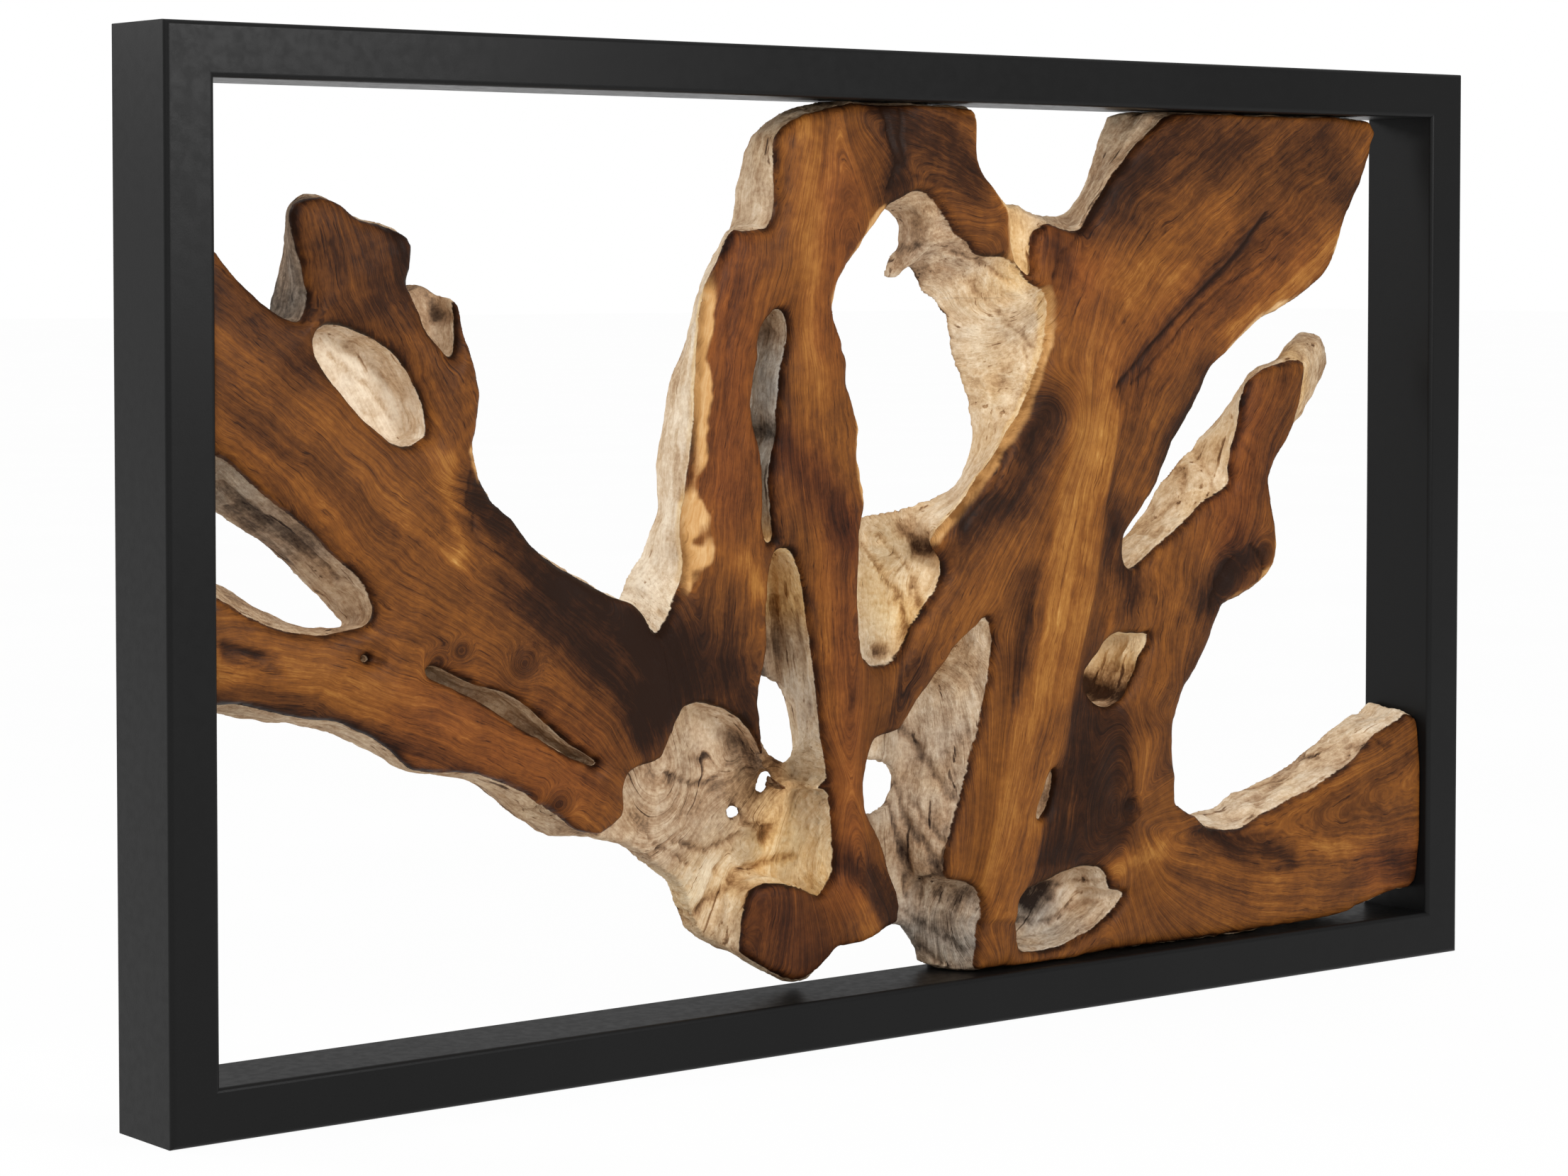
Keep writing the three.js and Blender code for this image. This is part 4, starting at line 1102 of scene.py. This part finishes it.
def seam_cutter(line):
    """A thin upright wall through the panel along one seam."""
    line = np.asarray(line, float)
    runs = np.gradient(line, axis=0)
    runs /= np.hypot(*runs.T)[:, None]
    across = np.column_stack([-runs[:, 1], runs[:, 0]]) * SEAM_HALF
    ring = np.concatenate([line + across, (line - across)[::-1]])
    count = len(ring)
    corners = [(x * MM, y * MM, (z + MIDDLE_Z) * MM) for y in (SEAM_FROM_Y, SEAM_TO_Y) for x, z in ring]
    faces = []
    for i in range(count):
        j = (i + 1) % count
        faces.append((i, j, count + j, count + i))
    for a in range(len(line) - 1):
        b, c, d = a + 1, count - 2 - a, count - 1 - a
        faces.append((d, c, b, a))
        faces.append((count + a, count + b, count + c, count + d))
    mesh = bpy.data.meshes.new("seam")
    mesh.from_pydata(corners, [], faces)
    return mesh


def loose_parts(mesh):
    """For each point, the lowest point number of the connected part that it belongs to."""
    parent = np.arange(len(mesh.vertices))
    a, b = numbers(mesh.edges, "vertices", 2, np.int32).T
    while True:
        low = np.minimum(parent[a], parent[b])
        before = parent.copy()
        np.minimum.at(parent, a, low)
        np.minimum.at(parent, b, low)
        parent = parent[parent]
        if np.array_equal(before, parent):
            return parent


def cut_slices(mesh):
    """The carved root parted along its seams, still in one mesh."""
    whole = new_object("root_cut", mesh)
    cutters = [new_object("seam", seam_cutter(line)) for line in SEAMS]
    for cutter in cutters:
        cut = whole.modifiers.new("seam", "BOOLEAN")
        cut.operation = "DIFFERENCE"
        cut.solver = "MANIFOLD"
        cut.object = cutter
    result = evaluated_mesh(whole, "root_parted")
    for piece in (whole, *cutters):
        bpy.data.objects.remove(piece, do_unlink=True)
    return result


def near_seams(flat, reach):
    close = np.zeros(len(flat), bool)
    for line in SEAMS:
        close |= along(flat, line)[0] < reach
    return close


def mend_seam_paint(points, paints, before, before_paints):
    """Points made by the saw cuts take their paint from the three nearest points of the uncut root."""
    source = np.flatnonzero(near_seams(before[:, [0, 2]], 4 * VOXEL / MM))
    tree = kdtree.KDTree(len(source))
    for i in source:
        tree.insert(before[i], int(i))
    tree.balance()
    for i in np.flatnonzero(near_seams(points[:, [0, 2]], 3 * SEAM_HALF)):
        found = tree.find_n(points[i], 3)
        weights = np.array([1 / (distance + 0.05) for _, _, distance in found])
        weights /= weights.sum()
        chosen = [index for _, index, _ in found]
        for paint, original in zip(paints, before_paints):
            paint[i] = weights @ original[chosen]


def face_corners(mesh):
    """The point numbers of each face, as one list with the starts and the lengths of its faces."""
    starts = numbers(mesh.polygons, "loop_start", 1, np.int32)
    totals = numbers(mesh.polygons, "loop_total", 1, np.int32)
    loops = numbers(mesh.loops, "vertex_index", 1, np.int32)
    return starts.ravel(), totals.ravel(), loops.ravel()


SHARP_ANGLE = 62


def make_slices():
    """Each slice of the root as its own piece, in place of its CAD node."""
    carved = carve_root()
    before = panel_points(carved)
    before_paints = read_paints(carved)
    whole = cut_slices(carved)
    part_of = loose_parts(whole)
    points = read_points(whole)
    panel = panel_points(whole)
    paints = read_paints(whole)
    mend_seam_paint(panel, paints, before, before_paints)
    starts, totals, loops = face_corners(whole)
    face_part = part_of[loops[starts]]
    teak = teak_material()
    for name, (x, z) in SLICE_SPOTS.items():
        nearest = np.linalg.norm(panel - (x, FRONT_Y, z), axis=1).argmin()
        label = part_of[nearest]
        kept = np.flatnonzero(part_of == label)
        number = np.full(len(points), -1)
        number[kept] = np.arange(len(kept))
        faces = [
            number[loops[starts[i]:starts[i] + totals[i]]].tolist()
            for i in np.flatnonzero(face_part == label)
        ]
        mesh = bpy.data.meshes.new("teak_" + name)
        mesh.from_pydata(points[kept].tolist(), [], faces)
        mesh.polygons.foreach_set("use_smooth", np.ones(len(faces), bool))
        mesh.set_sharp_from_angle(angle=math.radians(SHARP_ANGLE))
        add_paints(mesh, [paint[kept] for paint in paints])
        mesh.materials.append(teak)
        piece = new_object("teak_" + name, mesh)
        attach(piece, "root")
        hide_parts(name)
    bpy.data.meshes.remove(whole)


RAILS = ("top_rail", "bottom_rail", "left_stile", "right_stile")
# How far each end of a rail grows, and how far in from an end its mitre reaches, in metres.
MITRE_FILL = 0.00014
MITRE_REACH = 0.032


def weld_frame(black):
    """The rails again, each grown at its mitres so that the ground-flush welds show no line."""
    for name in RAILS:
        mesh = nodes[name].data.copy()
        mesh.name = "painted_" + name
        upright = name.endswith("stile")
        axis = 2 if upright else 0
        low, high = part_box(name)
        half = (high[axis] - low[axis]) / 2
        centre = (high[axis] + low[axis]) / 2
        for vertex in mesh.vertices:
            off = vertex.co[axis] - centre
            if abs(off) > half - MITRE_REACH:
                vertex.co[axis] += math.copysign(MITRE_FILL, off)
        piece = new_object("painted_" + name, mesh)
        piece.data.materials.clear()
        piece.data.materials.append(black)
        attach(piece, "root")
        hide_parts(name)


def cad_look(name, black, zinc, beech):
    if name.startswith("screw_"):
        return zinc
    if name.startswith("dowel_"):
        return beech
    return black


def finish_cad_nodes():
    black, zinc, beech = paint_material(), zinc_material(), dowel_material()
    weld_frame(black)
    for name, piece in nodes.items():
        if name in SLICE_SPOTS or name in RAILS:
            continue
        look = cad_look(name, black, zinc, beech)
        for slot in piece.material_slots:
            slot.material = look


add_camera()
add_floor()
add_world()
add_area_light("key", place=(-2.2, -1.6, 1.2), aim=(-0.1, 0, -0.3), side=1.8, power=16)
add_area_light("front_glow", place=(0.2, -1.4, 0.25), aim=(-0.5, 0, 0), side=0.5, power=10)
add_area_light("side_glow", place=(-1.25, 1.3, 0.55), aim=(-0.5, 0, 0), side=0.5, power=9)
make_slices()
finish_cad_nodes()
